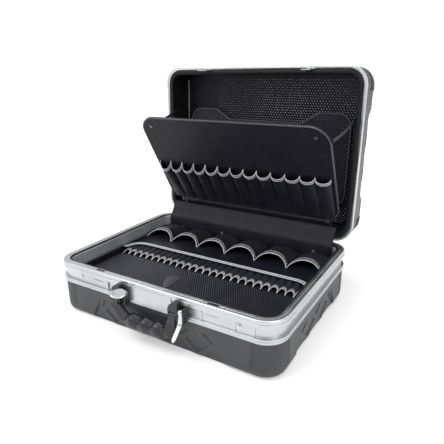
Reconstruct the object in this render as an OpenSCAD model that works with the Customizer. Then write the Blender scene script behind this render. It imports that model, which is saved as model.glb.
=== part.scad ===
// Hard tool case: two ribbed ABS shells, each set in an aluminium channel frame,
// joined by hinges, with a drop handle, two lever latches and pocket boards inside.
// X runs along the front, +Y to the hinges, +Z up. The origin is the centre of the
// footprint, on the surface that the case stands on. The case is drawn standing open.

/* [Case] */
// Width of the closed case
case_w = 460; // [420:1:520]
// Depth of the closed case
case_d = 345; // [320:1:400]
// Height of the base, up to its rim
base_h = 102; // [95:1:130]
// Height of the lid, up to its rim
lid_h = 68; // [60:1:90]
// Plan radius of the corners
corner_r = 38; // [30:1:44]
// Angle by which the lid stands open
lid_open = 92; // [90:1:96]

/* [Shell] */
// Wall of the moulded shells
shell_wall = 3; // [2.5:0.1:4]
// Distance from the frame's outer face to the shell's outer face
shell_inset = 2; // [1:0.5:3]
// Distance by which the side panels lean in at the bottom
panel_lean = 5; // [2:0.5:6]
// Depth of the fields between the crossed ribs
relief = 1.5; // [1:0.5:4]
// Width of the crossed ribs
rib_w = 8; // [5:0.5:12]
// Slant of the side panels' ends
panel_slant = 28; // [0:1:32]
// Radius of the shell's outer bottom edge
edge_r = 12; // [8:1:14]
// Length of each moulded corner block along the front
block_w = 84; // [60:1:90]
// Length of each moulded corner block along the sides
block_d = 72; // [60:1:85]

/* [Frame] */
// Height of the base frame
base_frame_h = 40; // [36:1:46]
// Height of the lid frame
lid_frame_h = 24; // [20:1:30]
// Height of the frame's lip
lip_h = 13; // [11:1:14]
// Height of the upper bead of the lip
bead = 6; // [5:0.5:7]
// Radius of the frame's outer edges
bead_r = 2.4; // [1.5:0.1:3]
// Width of the frame's lip, seen from above
lip_w = 12; // [11:0.5:14]
// Height of the frame's lower band
band_h = 9; // [7:0.5:11]
// Depth of the channel between lip and band
channel = 5; // [3:0.5:6]
// Wall of the frame's web
web = 2; // [1.5:0.1:2.5]
// Depth of the two grooves in the lip
groove = 0.8; // [0.4:0.1:1.2]

/* [Hinge] */
// Distance of the hinge axis behind the case
hinge_back = 5; // [4.5:0.1:7]
// Distance of the hinge axis below the rim
hinge_drop = 8; // [4:0.5:10]
// Radius of the hinge knuckles
knuckle_r = 4; // [3.5:0.1:4.4]
// Radius of the hinge pins
hinge_pin_r = 1.6; // [1.2:0.1:2]
// Length of each hinge
hinge_len = 62; // [50:1:80]
// Distance of each hinge from the middle
hinge_x = 140; // [110:1:150]

/* [Handle] */
// Distance of each latch housing from the middle
house_x = 60; // [55:1:70]
// Width of a handle arm at its pivot
arm_w = 13; // [11:0.5:14]
// Length of the grip
grip_len = 78; // [70:1:90]
// Radius of the grip
grip_r = 12.5; // [11:0.5:13]
// Distance of the grip below its pivot
handle_drop = 32; // [30:1:36]
// Radius of the handle pins
handle_pin_r = 2; // [1.5:0.1:2.5]

/* [Latch] */
// Length of a latch lever from its pivot to its bend
root_len = 16; // [15:0.5:20]
// Length of a lever's thumb pad
pad_len = 30; // [24:1:34]
// Width of a lever's thumb pad
pad_w = 17; // [14:0.5:18]
// Width of a latch lever at its pivot
lever_w = 9; // [7:0.5:10]
// Angle between a lever's root and its pad
pad_bend = 38; // [25:1:45]
// Angle of the left lever above the horizontal
left_up = 8; // [6:1:40]
// Angle of the right lever below the horizontal
right_down = 84; // [40:1:86]
// Distance of each lid catch from the case's side
catch_side = 112; // [100:1:125]

/* [Boards] */
// Depth of the nubbed front board below the rim
front_board_low = 43; // [38:1:50]
// Depth of the rear board below the rim
rear_board_low = 33; // [28:1:36]
// Thickness of the boards
board_t = 3; // [2:0.5:4]
// Distance of the rear board's front edge from the back of the case
step_back = 148.5; // [142:0.5:156]
// Number of small pockets in the base
small_count = 26; // [20:1:30]
// Length of the small pockets
small_len = 42; // [36:1:46]
// Height of the small pockets
small_h = 7.5; // [7:0.5:11]
// Number of large pockets in the base
big_count = 6; // [4:1:8]
// Distance of the large pockets' openings from the back of the case
big_back = 105.5; // [98:0.5:112]
// Height of the large pockets
big_h = 19; // [15:0.5:19.5]
// Wall of the pockets
pocket_wall = 1.2; // [1:0.1:2]
// Diameter of the piping
piping = 2.4; // [2:0.1:3]

/* [Lid board] */
// Distance of the lid's tool board from the case's sides
tool_side = 23; // [21:1:35]
// Height of the lid's tool board
tool_h = 232; // [200:1:236]
// Angle by which the tool board leans out of the lid
tool_lean = 30; // [20:1:32]
// Number of pockets on the tool board
tool_count = 13; // [10:1:14]
// Height of the pockets' openings above the board's lower edge
tool_open = 120; // [100:1:140]
// Radius of a tool pocket at its opening
tool_r = 12.6; // [9:0.2:12.8]

/* [Hidden] */
$fn = 64;
gap = 0.3;
half_w = case_w / 2;
half_d = case_d / 2;
shelf = base_h - base_frame_h;
lining_in = lip_w + shell_wall;
hinge_y = half_d + hinge_back;
hinge_z = base_h - hinge_drop;
rim_gap = 0.4;
front_y = -half_d;
front_board_z = base_h - front_board_low;
rear_board_z = base_h - rear_board_low;
step_y = half_d - step_back;
big_y = half_d - big_back;
tool_w = case_w - 2 * tool_side;
catch_x = half_w - catch_side;

// ---------- shared forms ----------

// A rectangle with round corners, standing in the middle.
module round_rect(w, d, r) {
    for (sx = [-1, 1], sy = [-1, 1])
        translate([sx * (w / 2 - r), sy * (d / 2 - r)]) circle(r);
    square([w - 2 * r, d], center = true);
    square([w, d - 2 * r], center = true);
}

module slab(w, d, r, z, h) {
    translate([0, 0, z]) linear_extrude(h) round_rect(w, d, r);
}

// Runs a section round the rim. In the section, x is the depth from the outer face
// and y is the height.
module round_rim(w, d, r) {
    for (turn = [0:3]) {
        long = turn % 2 == 0 ? w : d;
        wide = turn % 2 == 0 ? d : w;
        rotate([0, 0, 90 * turn]) {
            translate([-(long / 2 - r), -wide / 2, 0])
                rotate([90, 0, 90]) linear_extrude(long - 2 * r) children();
            translate([long / 2 - r, -(wide / 2 - r), 0])
                rotate([0, 0, -90]) rotate_extrude(angle = 90)
                    translate([r, 0]) mirror([1, 0]) children();
        }
    }
}

// Puts a thing that is drawn on the closed case on the open lid.
module on_lid() {
    translate([0, hinge_y, hinge_z]) rotate([-lid_open, 0, 0])
        translate([0, -hinge_y, -hinge_z]) children();
}

// A rod along X.
module rod(r, x0, x1, y, z) {
    translate([x0, y, z]) rotate([0, 90, 0]) cylinder(r = r, h = x1 - x0);
}

// ---------- shells and frames ----------

// The ends of a side panel slant towards its top, and its face is at y = 0.
module panel_prism(len, high, deep) {
    translate([0, deep, 0]) rotate([90, 0, 0]) linear_extrude(deep + 8)
        polygon([[-len / 2 - panel_slant * 3 / high, -3], [len / 2 + panel_slant * 3 / high, -3],
                 [len / 2 - panel_slant, high], [-len / 2 + panel_slant, high]]);
}

// The recess in one side of a shell: a panel that leans in towards the bottom, with
// deeper fields between its crossed ribs.
module side_panel(len, high, crosses) {
    pitch = len / crosses;
    slope = atan2(high, pitch);
    translate([0, 0, high]) rotate([atan2(panel_lean, high), 0, 0]) translate([0, 0, -high]) {
        panel_prism(len, high, 0.01);
        difference() {
            panel_prism(len - 2 * rib_w, high - rib_w / 2, relief);
            for (i = [0:crosses - 1], s = [-1, 1])
                translate([(i + 0.5 - crosses / 2) * pitch, 0, high / 2]) rotate([0, s * slope, 0])
                    cube([norm([high, pitch]) + rib_w, 3 * relief, rib_w], center = true);
        }
    }
}

// The inner face of a side panel: it stands one wall behind the deepest field.
module panel_back(len, high) {
    translate([0, 0, high]) rotate([atan2(panel_lean, high), 0, 0]) translate([0, 0, -high])
        panel_prism(len + 2 * shell_wall, high + shell_wall, relief + shell_wall);
}

// A moulded tray standing on z = 0, with ribbed sides, open at the top.
module shell(h, flange_h) {
    out_w = case_w - 2 * shell_inset;
    out_d = case_d - 2 * shell_inset;
    out_r = corner_r - shell_inset;
    in_w = case_w - 2 * lining_in;
    in_d = case_d - 2 * lining_in;
    body_h = h - flange_h;
    edge_in = edge_r / 3;
    low_in = shell_inset + shell_wall;
    difference() {
        union() {
            slab(out_w, out_d, out_r, edge_r, body_h - edge_r);
            slab(out_w - 2 * edge_r, out_d - 2 * edge_r, out_r - edge_r, 0, edge_r);
            intersection() {
                round_rim(out_w, out_d, out_r) translate([edge_r, edge_r]) circle(edge_r);
                slab(out_w, out_d, out_r, 0, edge_r);
            }
            slab(case_w - 2 * lip_w, case_d - 2 * lip_w, corner_r - lip_w, body_h - 1,
                 flange_h - lip_h + 1);
        }
        slab(in_w, in_d, corner_r - lining_in, body_h - shell_wall, h);
        difference() {
            slab(case_w - 2 * low_in - 2 * edge_in, case_d - 2 * low_in - 2 * edge_in,
                 corner_r - low_in - edge_in, shell_wall, body_h - 2 * shell_wall);
            for (turn = [0:3]) rotate([0, 0, 90 * turn])
                translate([0, -(turn % 2 == 0 ? out_d : out_w) / 2, 0])
                    panel_back(turn % 2 == 0 ? case_w - 2 * block_w : case_d - 2 * block_d, body_h - 10);
        }
        for (turn = [0:3]) rotate([0, 0, 90 * turn])
            translate([0, -(turn % 2 == 0 ? out_d : out_w) / 2, 0])
                side_panel(turn % 2 == 0 ? case_w - 2 * block_w : case_d - 2 * block_d,
                           body_h - 10, turn % 2 == 0 ? 5 : 3);
    }
}

module base_shell() {
    color("#55565a") shell(base_h, base_frame_h);
}

module lid_shell() {
    color("#55565a") on_lid() translate([0, 0, base_h + rim_gap + lid_h]) mirror([0, 0, 1])
        shell(lid_h, lid_frame_h);
}

// A bar of the frame's section with its outer edge rounded.
module frame_bar(w, h) {
    translate([bead_r, 0]) square([w - bead_r, h]);
    square([w, h - bead_r]);
    translate([bead_r, h - bead_r]) circle(bead_r);
}

// The frame's section: a lip of two beads, a web set back, and a band.
module frame_section(h) {
    difference() {
        union() {
            translate([0, h - lip_h]) frame_bar(lip_w, lip_h);
            translate([channel, band_h / 2]) square([web, h - lip_h]);
            translate([0, band_h]) mirror([0, 1]) frame_bar(lip_w, band_h);
        }
        translate([-1, h - bead - 0.7]) square([1 + groove, 1.4]);
        translate([lip_w * 0.5, h - groove]) square([1.4, groove + 1]);
        translate([-1, band_h * 0.55]) square([1 + groove, 1.2]);
        translate([channel + web, -1]) square([lip_w, h - lip_h + 1]);
    }
}

// A slot in the lip for a lid catch.
catch_w = 18;
catch_t = 2;
catch_deep = 26;
catch_in = channel + web + 0.8;
module catch_slots() {
    for (s = [-1, 1]) translate([s * catch_x - catch_w / 2 - 1, front_y + catch_in - 1.2,
                                 base_h - lip_h - 1])
        cube([catch_w + 2, catch_t + 2.4, lip_h + 2]);
}

module base_frame() {
    color("#d4d6d8") difference() {
        translate([0, 0, shelf]) round_rim(case_w, case_d, corner_r) frame_section(base_frame_h);
        catch_slots();
    }
}

module lid_frame() {
    color("#d4d6d8") on_lid() difference() {
        translate([0, 0, base_h + rim_gap + lid_frame_h]) mirror([0, 0, 1])
            round_rim(case_w, case_d, corner_r) frame_section(lid_frame_h);
        for (s = [-1, 1]) translate([s * catch_x - catch_w / 2, front_y + catch_in, base_h])
            cube([catch_w, catch_t, lip_h + rim_gap + 1]);
    }
}

// A soft seal on the inner half of the lid's rim.
module lid_seal() {
    seal_out = lip_w + shell_wall;
    color("#26262a") on_lid() translate([0, 0, base_h + rim_gap + 0.2])
        round_rim(case_w, case_d, corner_r)
            translate([lip_w, 0]) square([seal_out - lip_w - 0.6, lip_h - 0.6]);
}

// The lining inside the base: a thin wall with a ledge that the boards rest against.
lining_t = 1.6;
ledge_w = 4;
ledge_z = base_h - 24;
module base_lining() {
    color("#202024") round_rim(case_w, case_d, corner_r) {
        translate([lining_in, shell_wall]) square([lining_t, base_h - 5 - shell_wall]);
        translate([lip_w + 0.1, base_h - lip_h + 0.2]) square([lining_in - lip_w + lining_t, lip_h - 1.6]);
        translate([lining_in, shell_wall]) square([lining_t + ledge_w, front_board_z - shell_wall - 0.2]);
    }
}

// The plate that joins the ends of the bent frame, in the channel at one corner.
plate_t = 1.2;
joint_x = half_w - corner_r - 22;
module frame_joint_plate() {
    color("#c2c5c8") translate([joint_x, front_y + channel - plate_t,
                                shelf + band_h + 0.2])
        cube([21, plate_t, base_frame_h - lip_h - band_h - 0.4]);
}

// The flat plate on the front of the frame, between the latch housings.
module front_plate() {
    plate_low = shelf + bead_r;
    plate_high = base_h - bead - 1;
    color("#d0d3d6") translate([0, front_y, (plate_low + plate_high) / 2]) rotate([90, 0, 0])
        linear_extrude(plate_t)
            round_rect(2 * (house_x - house_r - gap), plate_high - plate_low, 3);
}

// A flat cover over the lock bolt, with a slot for the bolt's catch and a folded edge.
cover_w = 62;
cover_near = catch_x - 21;
fold_t = 1.6;
module lock_cover() {
    cover_z = shelf + band_h + 0.2;
    cover_h = base_frame_h - lip_h - band_h - 0.4;
    color("#cdd0d3") difference() {
        union() {
            translate([cover_near, front_y + channel - plate_t, cover_z])
                cube([cover_w, plate_t, cover_h]);
            translate([cover_near, front_y + channel - plate_t - fold_t, cover_z + 2])
                cube([3, plate_t + fold_t, cover_h - 4]);
        }
        translate([catch_x - 9, front_y, cover_z + cover_h - 6.5]) cube([20, channel + 1, 2.6]);
    }
}
module lock_cover_right() { lock_cover(); }
module lock_cover_left() { mirror([1, 0, 0]) lock_cover(); }

module cover_rivets() {
    color("#e2e4e6") for (s = [-1, 1]) translate([s * (joint_x - 6), front_y + channel, base_h - lip_h - 9]) {
        rotate([90, 0, 0]) cylinder(r = 4.2, h = 1.4);
        rotate([90, 0, 0]) cylinder(r = 2, h = 2.4);
    }
}

// ---------- boards and pockets in the base ----------

board_in = lining_in + lining_t + 0.4;
board_w = case_w - 2 * board_in;
board_back = half_d - board_in;
board_front = -(half_d - board_in);
board_r = corner_r - board_in;

well_r = 30;
well_in = 8;
well_end = -8;
// The outline of the sunken front part of the boards, grown by a distance.
module well(grow) {
    translate([0, step_y + grow - case_d / 2]) round_rect(board_w - 2 * well_in + 2 * grow, case_d,
                                                          well_r + grow);
}
module front_board() {
    color("#26262c") intersection() {
        slab(board_w, 2 * board_back, board_r, front_board_z, board_t);
        translate([-half_w, board_front - 1, 0]) cube([case_w, step_y + 7 - board_front, case_d]);
    }
}

// The raised rear board: it runs forward at both sides, and its edge stands on the
// front board.
module rear_board() {
    color("#1e1e23") intersection() {
        union() {
            slab(board_w, 2 * board_back, board_r, rear_board_z, board_t);
            translate([0, 0, front_board_z + board_t])
                linear_extrude(rear_board_z - front_board_z - board_t + 0.1) well(board_t);
        }
        difference() {
            translate([-half_w, well_end, 0]) cube([case_w, case_d, case_d]);
            translate([0, 0, -1]) linear_extrude(case_d) well(0);
            translate([-half_w, well_end - 1, 0])
                cube([case_w / 2 - board_w / 2 + 0.01, case_d, rear_board_z - 0.01]);
        }
    }
}

// Binding along the rear board's front edge.
module rear_board_piping() {
    top = rear_board_z + board_t;
    color("#b8b8b8") translate([0, 0, top]) linear_extrude(piping) intersection() {
        translate([-half_w, well_end]) square([case_w, step_y + 8 - well_end]);
        difference() {
            well(2 * piping);
            well(0);
        }
    }
}

// A pocket's section: an arch of the width and height wanted.
module arch(w, h, t) {
    rise = min(h, w / 2);
    r = w / 2;
    difference() {
        union() {
            translate([0, h - rise]) intersection() {
                circle(r);
                translate([-r, 0]) square([w, r]);
            }
            if (h > rise) translate([-r, 0]) square([w, h - rise]);
        }
        translate([0, h - rise]) intersection() {
            circle(r - t);
            translate([-r, -0.01]) square([w, r]);
        }
        if (h > rise) translate([-r + t, -1]) square([w - 2 * t, h - rise + 1.01]);
    }
}

// A slab between two parallel planes that lean back, with its lower front edge on the
// line at y, z.
module leaning(y, z, angle, t) {
    translate([-half_w, y, z]) rotate([angle, 0, 0]) translate([0, -40, -t]) cube([case_w, 160, t]);
}

// All that is in front of such a slab, and the slab.
module before_leaning(y, z, angle) {
    translate([-half_w, y, z]) rotate([angle, 0, 0]) translate([0, -60, -piping - 0.1]) cube([case_w, 200, 80]);
}

small_pitch = (board_w - 16) / small_count;
small_y = step_y - small_len;
small_lean = 34;
module small_rows(t) {
    intersection() {
        for (i = [0:small_count - 1])
            translate([(i - (small_count - 1) / 2) * small_pitch, step_y, front_board_z + board_t])
                rotate([90, 0, 0]) linear_extrude(small_len + 3) arch(small_pitch - 0.8, small_h, t);
        linear_extrude(case_d) well(-gap);
    }
}
module small_pockets() {
    color("#1b1b20") difference() {
        small_rows(pocket_wall);
        before_leaning(small_y, front_board_z + board_t, small_lean);
    }
}
module small_pocket_piping() {
    color("#b8b8b8") intersection() {
        small_rows(pocket_wall + 0.8);
        leaning(small_y, front_board_z + board_t, small_lean, piping);
    }
}

big_pitch = (board_w - 8) / big_count;
big_r = (big_pitch * big_pitch / 4 + big_h * big_h) / (2 * big_h);
big_len = 68;
big_lean = 48;
big_fall = 9;
// The section of the large pockets: a flat arc of a circle.
module big_arch(t) {
    intersection() {
        translate([0, big_h - big_r]) difference() {
            circle(big_r, $fn = 128);
            circle(big_r - t, $fn = 128);
        }
        translate([-big_pitch / 2 + 0.3, -8]) square([big_pitch - 0.6, big_h + 9]);
    }
}
// The large pockets fall towards the back, down to the board.
module big_rows(t) {
    top = rear_board_z + board_t;
    difference() {
        for (i = [0:big_count - 1])
            translate([(i - (big_count - 1) / 2) * big_pitch, big_y + 18, top]) rotate([-big_fall, 0, 0])
                translate([0, big_len - 14, 0]) rotate([90, 0, 0]) linear_extrude(big_len + 6) big_arch(t);
        translate([-half_w, 0, top - 60]) cube([case_w, case_d, 60]);
    }
}
module large_pockets() {
    color("#1b1b20") difference() {
        big_rows(pocket_wall);
        before_leaning(big_y, rear_board_z + board_t, big_lean);
    }
}
module large_pocket_piping() {
    color("#b8b8b8") intersection() {
        big_rows(pocket_wall + 0.9);
        leaning(big_y, rear_board_z + board_t, big_lean, piping);
    }
}

// The curved tab that stands on the front board.
tab_r = 70;
tab_y = front_y + 90.5;
module divider_tab() {
    color("#3a3a40") translate([-24 - tab_r, tab_y, front_board_z + board_t]) rotate([0, 0, -16])
        rotate_extrude(angle = 40, $fn = 128) translate([tab_r, 0]) square([pocket_wall, 9]);
}

// ---------- latches ----------

lever_z = base_h - 21;
lever_y = front_y - 8;
blade_t = 4;
lever_pin_r = 1.8;
cheek = 2.4;
house_r = (arm_w + lever_w + 4 * gap + 3 * cheek) / 2;
house_out = 12;
house_low = shelf + 2;
arm_z = shelf + 9;
arm_y = front_y - 7;
arm_room = 8;
// Middle of the handle arm and of the lever in the housing whose middle is at x.
function arm_at(x) = x - house_r + cheek + gap + arm_w / 2;
function lever_at(x) = x + house_r - cheek - gap - lever_w / 2;

// The black housing at each end of the handle: round at the top, with a mouth for the
// latch lever, and below it a fork that carries the handle arm.
module latch_housing(x) {
    mouth = lever_w + 2 * gap;
    slot = arm_w + 2 * gap;
    color("#232326") difference() {
        union() {
            translate([x, front_y - gap, lever_z]) rotate([90, 0, 0])
                cylinder(r = house_r, h = house_out - gap);
            translate([x - house_r, front_y - house_out, house_low])
                cube([2 * house_r, house_out - gap, lever_z - house_low]);
            translate([x - house_r, front_y - 1, shelf + band_h + gap])
                cube([2 * house_r, channel + 1, base_frame_h - lip_h - band_h - 2 * gap]);
        }
        translate([arm_at(x) - slot / 2, front_y - house_out - 1, house_low - 1])
            cube([slot, house_out + 2, arm_z + arm_room + 1 - house_low]);
        translate([lever_at(x) - mouth / 2, front_y - house_out - 1, house_low - 1])
            cube([mouth, house_out + 1 + gap, lever_z + house_r + 2 - house_low]);
        rod(handle_pin_r + 0.04, x - house_r - 1, x + house_r + 1, arm_y, arm_z);
        rod(lever_pin_r + 0.04, x - house_r - 1, x + house_r + 1, lever_y, lever_z);
    }
}
module latch_housing_left() { latch_housing(-house_x); }
module latch_housing_right() { latch_housing(house_x); }

// The cast lever: a root along -y from its pivot at the origin, and an oval thumb pad
// that bends up from it and is dished on its lower face.
dish_r = 60;
dish_depth = 0.5;
lever_half = blade_t / 2;
mitre = lever_half * tan(pad_bend / 2);
pad_y = -root_len - cos(pad_bend) * pad_w / 2;
pad_z = sin(pad_bend) * pad_w / 2;
lean_y = lever_half * sin(pad_bend);
lean_z = lever_half * cos(pad_bend);
lever_side = [
    [0, -lever_half], [-root_len - mitre, -lever_half],
    [pad_y - lean_y, pad_z - lean_z], [pad_y + lean_y, pad_z + lean_z],
    [-root_len + mitre, lever_half], [0, lever_half]
];
module lever(x, up) {
    color("#e4e6e8") translate([lever_at(x), lever_y, lever_z]) rotate([-up, 0, 0]) difference() {
        union() {
            rod(4.6, -lever_w / 2, lever_w / 2, 0, 0);
            translate([-lever_w / 2, 0, 0]) rotate([90, 0, 90]) linear_extrude(lever_w) polygon(lever_side);
            translate([0, -root_len, 0]) rotate([-pad_bend, 0, 0])
                translate([0, -pad_len / 2 - 1, -lever_half]) linear_extrude(blade_t)
                    round_rect(pad_w, pad_len, pad_w / 2 - 0.2);
        }
        rod(lever_pin_r + 0.03, -lever_w, lever_w, 0, 0);
        translate([0, -root_len, 0]) rotate([-pad_bend, 0, 0])
            translate([0, -pad_len / 2 - 1, -lever_half - dish_r + dish_depth]) sphere(dish_r, $fn = 128);
    }
}
module latch_lever_left() { lever(-house_x, left_up); }
module latch_lever_right() { lever(house_x, -right_down); }

module lever_pins() {
    color("#9fa3a8") for (x = [-house_x, house_x])
        rod(lever_pin_r, x - house_r + 0.5, x + house_r - 0.5, lever_y, lever_z);
}

// The sliding bolt behind the web, which holds the lid's catch when its lever is up.
bolt_t = 2.6;
bolt_h = 5;
bolt_len = 42;
bolt_throw = 9;
lever_shut = 50;
notch_w = 8;
bolt_z = base_h - lip_h - 11;
bolt_shut = catch_x - catch_w / 2 + notch_w - 0.6;
bolt_rate = bolt_throw / (lever_shut - left_up);
module lock_bolt(end) {
    color("#a9adb1") translate([min(end, end - sign(end) * bolt_len), front_y + catch_in - bolt_t / 2 + catch_t / 2,
                                bolt_z])
        cube([bolt_len, bolt_t, bolt_h]);
}
module lock_bolt_left() { lock_bolt(-(bolt_shut - bolt_rate * (lever_shut - left_up))); }
module lock_bolt_right() { lock_bolt(bolt_shut - bolt_rate * (lever_shut + right_down)); }

// ---------- handle ----------

grip_z = arm_z - handle_drop;
grip_y = arm_y - 7;
arm_end_r = 7.5;
arm_flare = 4.5;
module handle_arm(s) {
    x = arm_at(s * house_x);
    grip_end = s * grip_len / 2;
    neck_z = arm_z - 15;
    neck_low = x - arm_w / 2 - arm_flare;
    neck_high = x + arm_w / 2 - 1.6;
    color("#2b2b2f") difference() {
        union() {
            rod(6.4, x - arm_w / 2, x + arm_w / 2, arm_y, arm_z);
            hull() {
                rod(6, x - arm_w / 2, neck_high, arm_y, arm_z - 1);
                rod(6, x - arm_w / 2, neck_high, arm_y - 1.5, neck_z);
            }
            hull() {
                rod(6, neck_low, neck_high, arm_y - 1.5, neck_z);
                rod(arm_end_r, min(grip_end, grip_end + s * 12), max(grip_end, grip_end + s * 12), grip_y, grip_z);
            }
        }
        rod(handle_pin_r + 0.03, x - arm_w, x + arm_w, arm_y, arm_z);
    }
}
module handle_arm_left() { handle_arm(-1); }
module handle_arm_right() { handle_arm(1); }

// The soft grip: a turned form with three finger swells, and a round rail below it.
module handle_grip() {
    steps = 36;
    swell = 2;
    long = grip_len - 0.2;
    color("#303036") union() {
        translate([-long / 2, grip_y, grip_z]) rotate([0, 90, 0]) rotate_extrude() polygon(concat([[0, 0]],
            [for (i = [0:steps]) [grip_r - 1 + swell * (0.5 - 0.5 * cos(360 * 3 * i / steps)), long * i / steps]],
            [[0, long]]));
        rod(grip_r - 1.5, -long / 2, long / 2, grip_y + 1, grip_z - 7);
    }
}

module handle_pins() {
    color("#9fa3a8") for (x = [-house_x, house_x])
        rod(handle_pin_r, x - house_r + 0.5, lever_at(x) - lever_w / 2 - gap - 0.2, arm_y, arm_z);
}

// ---------- hinges ----------

leaf_t = 1.6;
knuckles = 5;
knuckle_len = hinge_len / knuckles;
// One side of a hinge: every second knuckle, and its leaf.
module hinge_knuckles(first) {
    for (s = [-1, 1], k = [first:2:knuckles - 1])
        translate([s * hinge_x - hinge_len / 2 + k * knuckle_len + 0.15, 0, 0]) difference() {
            union() {
                rod(knuckle_r, 0, knuckle_len - 0.3, hinge_y, hinge_z);
                children();
            }
            rod(hinge_pin_r + 0.04, -1, knuckle_len + 1, hinge_y, hinge_z);
        }
}
module hinge_leaves_base() {
    low = shelf + band_h + 0.3;
    arm_low = base_h - lip_h - leaf_t - 0.1;
    color("#bfc2c5") {
        hinge_knuckles(0) {
            translate([0, half_d - 0.2, arm_low]) cube([knuckle_len - 0.3, hinge_back + 0.2, leaf_t]);
            translate([0, hinge_y - leaf_t, arm_low]) cube([knuckle_len - 0.3, leaf_t, hinge_z - arm_low]);
        }
        for (s = [-1, 1]) {
            translate([s * hinge_x - hinge_len / 2, half_d - channel, low])
                cube([hinge_len, leaf_t, arm_low + leaf_t - low]);
            translate([s * hinge_x - hinge_len / 2, half_d - channel, arm_low])
                cube([hinge_len, channel - 0.1, leaf_t]);
        }
    }
}
module hinge_leaf_rivets_base() {
    color("#e2e4e6") for (s = [-1, 1], i = [-1, 1])
        translate([s * hinge_x + i * hinge_len * 0.32, half_d - channel + leaf_t, shelf + band_h + 6])
            rotate([-90, 0, 0]) cylinder(r = 3, h = 1.2);
}
module hinge_pins() {
    color("#8e9296") for (s = [-1, 1])
        rod(hinge_pin_r, s * hinge_x - hinge_len / 2 + 0.2, s * hinge_x + hinge_len / 2 - 0.2, hinge_y, hinge_z);
}
module hinge_leaves_lid() {
    rim = base_h + rim_gap;
    color("#bfc2c5") on_lid() {
        hinge_knuckles(1)
            translate([0, hinge_y + knuckle_r - leaf_t, hinge_z])
                cube([knuckle_len - 0.3, leaf_t, rim + 4 - hinge_z]);
        for (s = [-1, 1]) {
            translate([s * hinge_x - hinge_len / 2, half_d + 0.2, rim + 4])
                cube([hinge_len, hinge_back + knuckle_r - 0.2, leaf_t]);
            translate([s * hinge_x - hinge_len / 2, half_d + 0.05, rim + 4])
                cube([hinge_len, leaf_t, lid_frame_h - 6]);
        }
    }
}
module hinge_leaf_rivets_lid() {
    color("#e2e4e6") on_lid() for (s = [-1, 1], i = [-1, 1])
        translate([s * hinge_x + i * hinge_len * 0.32, half_d + 0.05 + leaf_t, base_h + 16])
            rotate([-90, 0, 0]) cylinder(r = 3, h = 1.2);
}

// ---------- inside the lid ----------

module lid_lining() {
    color("#1c1c20") on_lid() translate([0, 0, base_h + rim_gap + lid_h]) mirror([0, 0, 1])
        round_rim(case_w, case_d, corner_r)
            translate([lining_in, shell_wall]) square([lining_t, lid_h - shell_wall - 4]);
}

panel_in = lining_in + lining_t + 0.4;
panel_t = 2;
panel_z = base_h + rim_gap + lid_h - shell_wall - panel_t - 0.2;
module lid_back_panel() {
    color("#2b2b31") on_lid()
        slab(case_w - 2 * panel_in, case_d - 2 * panel_in, corner_r - panel_in, panel_z, panel_t);
}

module lid_catches() {
    color("#c8cbce") on_lid() for (s = [-1, 1]) translate([s * catch_x, front_y + catch_in, 0]) {
        difference() {
            translate([-catch_w / 2, 0, base_h + rim_gap - catch_deep])
                cube([catch_w, catch_t, catch_deep + lip_h]);
            // The notch is open at the side that the bolt comes from.
            translate([s > 0 ? -catch_w / 2 - 1 : catch_w / 2 - notch_w, -1, bolt_z - 1])
                cube([notch_w + 1, catch_t + 2, bolt_h + 2]);
        }
    }
}

// The document panel stands in front of the lid's back, with a scooped upper edge.
doc_side = 36;
doc_w = case_w - 2 * doc_side;
doc_h = 193;
doc_gap = 10;
doc_low = 44;
doc_scoop = 250;
doc_dip = 22;
// The panel's outline: shoulders at both sides of a shallow opening.
module doc_plain(inset) {
    top = doc_h - inset;
    mid = doc_scoop / 2 + inset;
    difference() {
        translate([0, doc_h / 2]) round_rect(doc_w - 2 * inset, doc_h - 2 * inset, 26 - inset);
        polygon([[-mid, top + 1], [-mid + doc_dip * 1.7, top - doc_dip],
                 [mid - doc_dip * 1.7, top - doc_dip], [mid, top + 1]]);
    }
}
// Puts a flat outline on the lid: x along the lid, y away from the hinges, at a height
// measured from the lid's back towards its opening.
module on_lid_back(rise) {
    on_lid() translate([0, half_d - panel_in, panel_z - rise]) rotate([180, 0, 0]) children();
}
module document_panel() {
    color("#232328") on_lid_back(doc_gap) translate([0, doc_low, 0]) linear_extrude(panel_t) doc_plain(0);
    color("#232328") for (s = [-1, 1]) on_lid_back(0) translate([s * doc_w * 0.42, doc_low + 12, 0])
        cylinder(r = 6, h = doc_gap);
}
module document_panel_piping() {
    color("#b8b8b8") on_lid_back(doc_gap) translate([0, doc_low, panel_t]) linear_extrude(0.8)
        difference() {
            doc_plain(0);
            doc_plain(2);
        }
}
module document_panel_rivets() {
    color("#c8cbce") for (s = [-1, 1]) on_lid_back(doc_gap)
        translate([s * doc_w * 0.42, doc_low + 12, panel_t]) cylinder(r = 4, h = 1.4);
}

// ---------- the tool board ----------

// The board's hinge line, given on the closed case, and where it is on the open lid.
tool_in = 41;
tool_below = 7;
tool_dy = half_d - tool_in - hinge_y;
tool_dz = base_h + rim_gap - tool_below - hinge_z;
tool_y = hinge_y + tool_dy * cos(lid_open) + tool_dz * sin(lid_open);
tool_z = hinge_z - tool_dy * sin(lid_open) + tool_dz * cos(lid_open);
module on_board() {
    translate([0, tool_y, tool_z]) rotate([tool_lean, 0, 0]) children();
}
tool_t = 3;
module tool_outline(inset) {
    r = 38;
    translate([0, tool_h / 2]) round_rect(tool_w - 2 * inset, tool_h - 2 * inset, r - inset);
}
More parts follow.
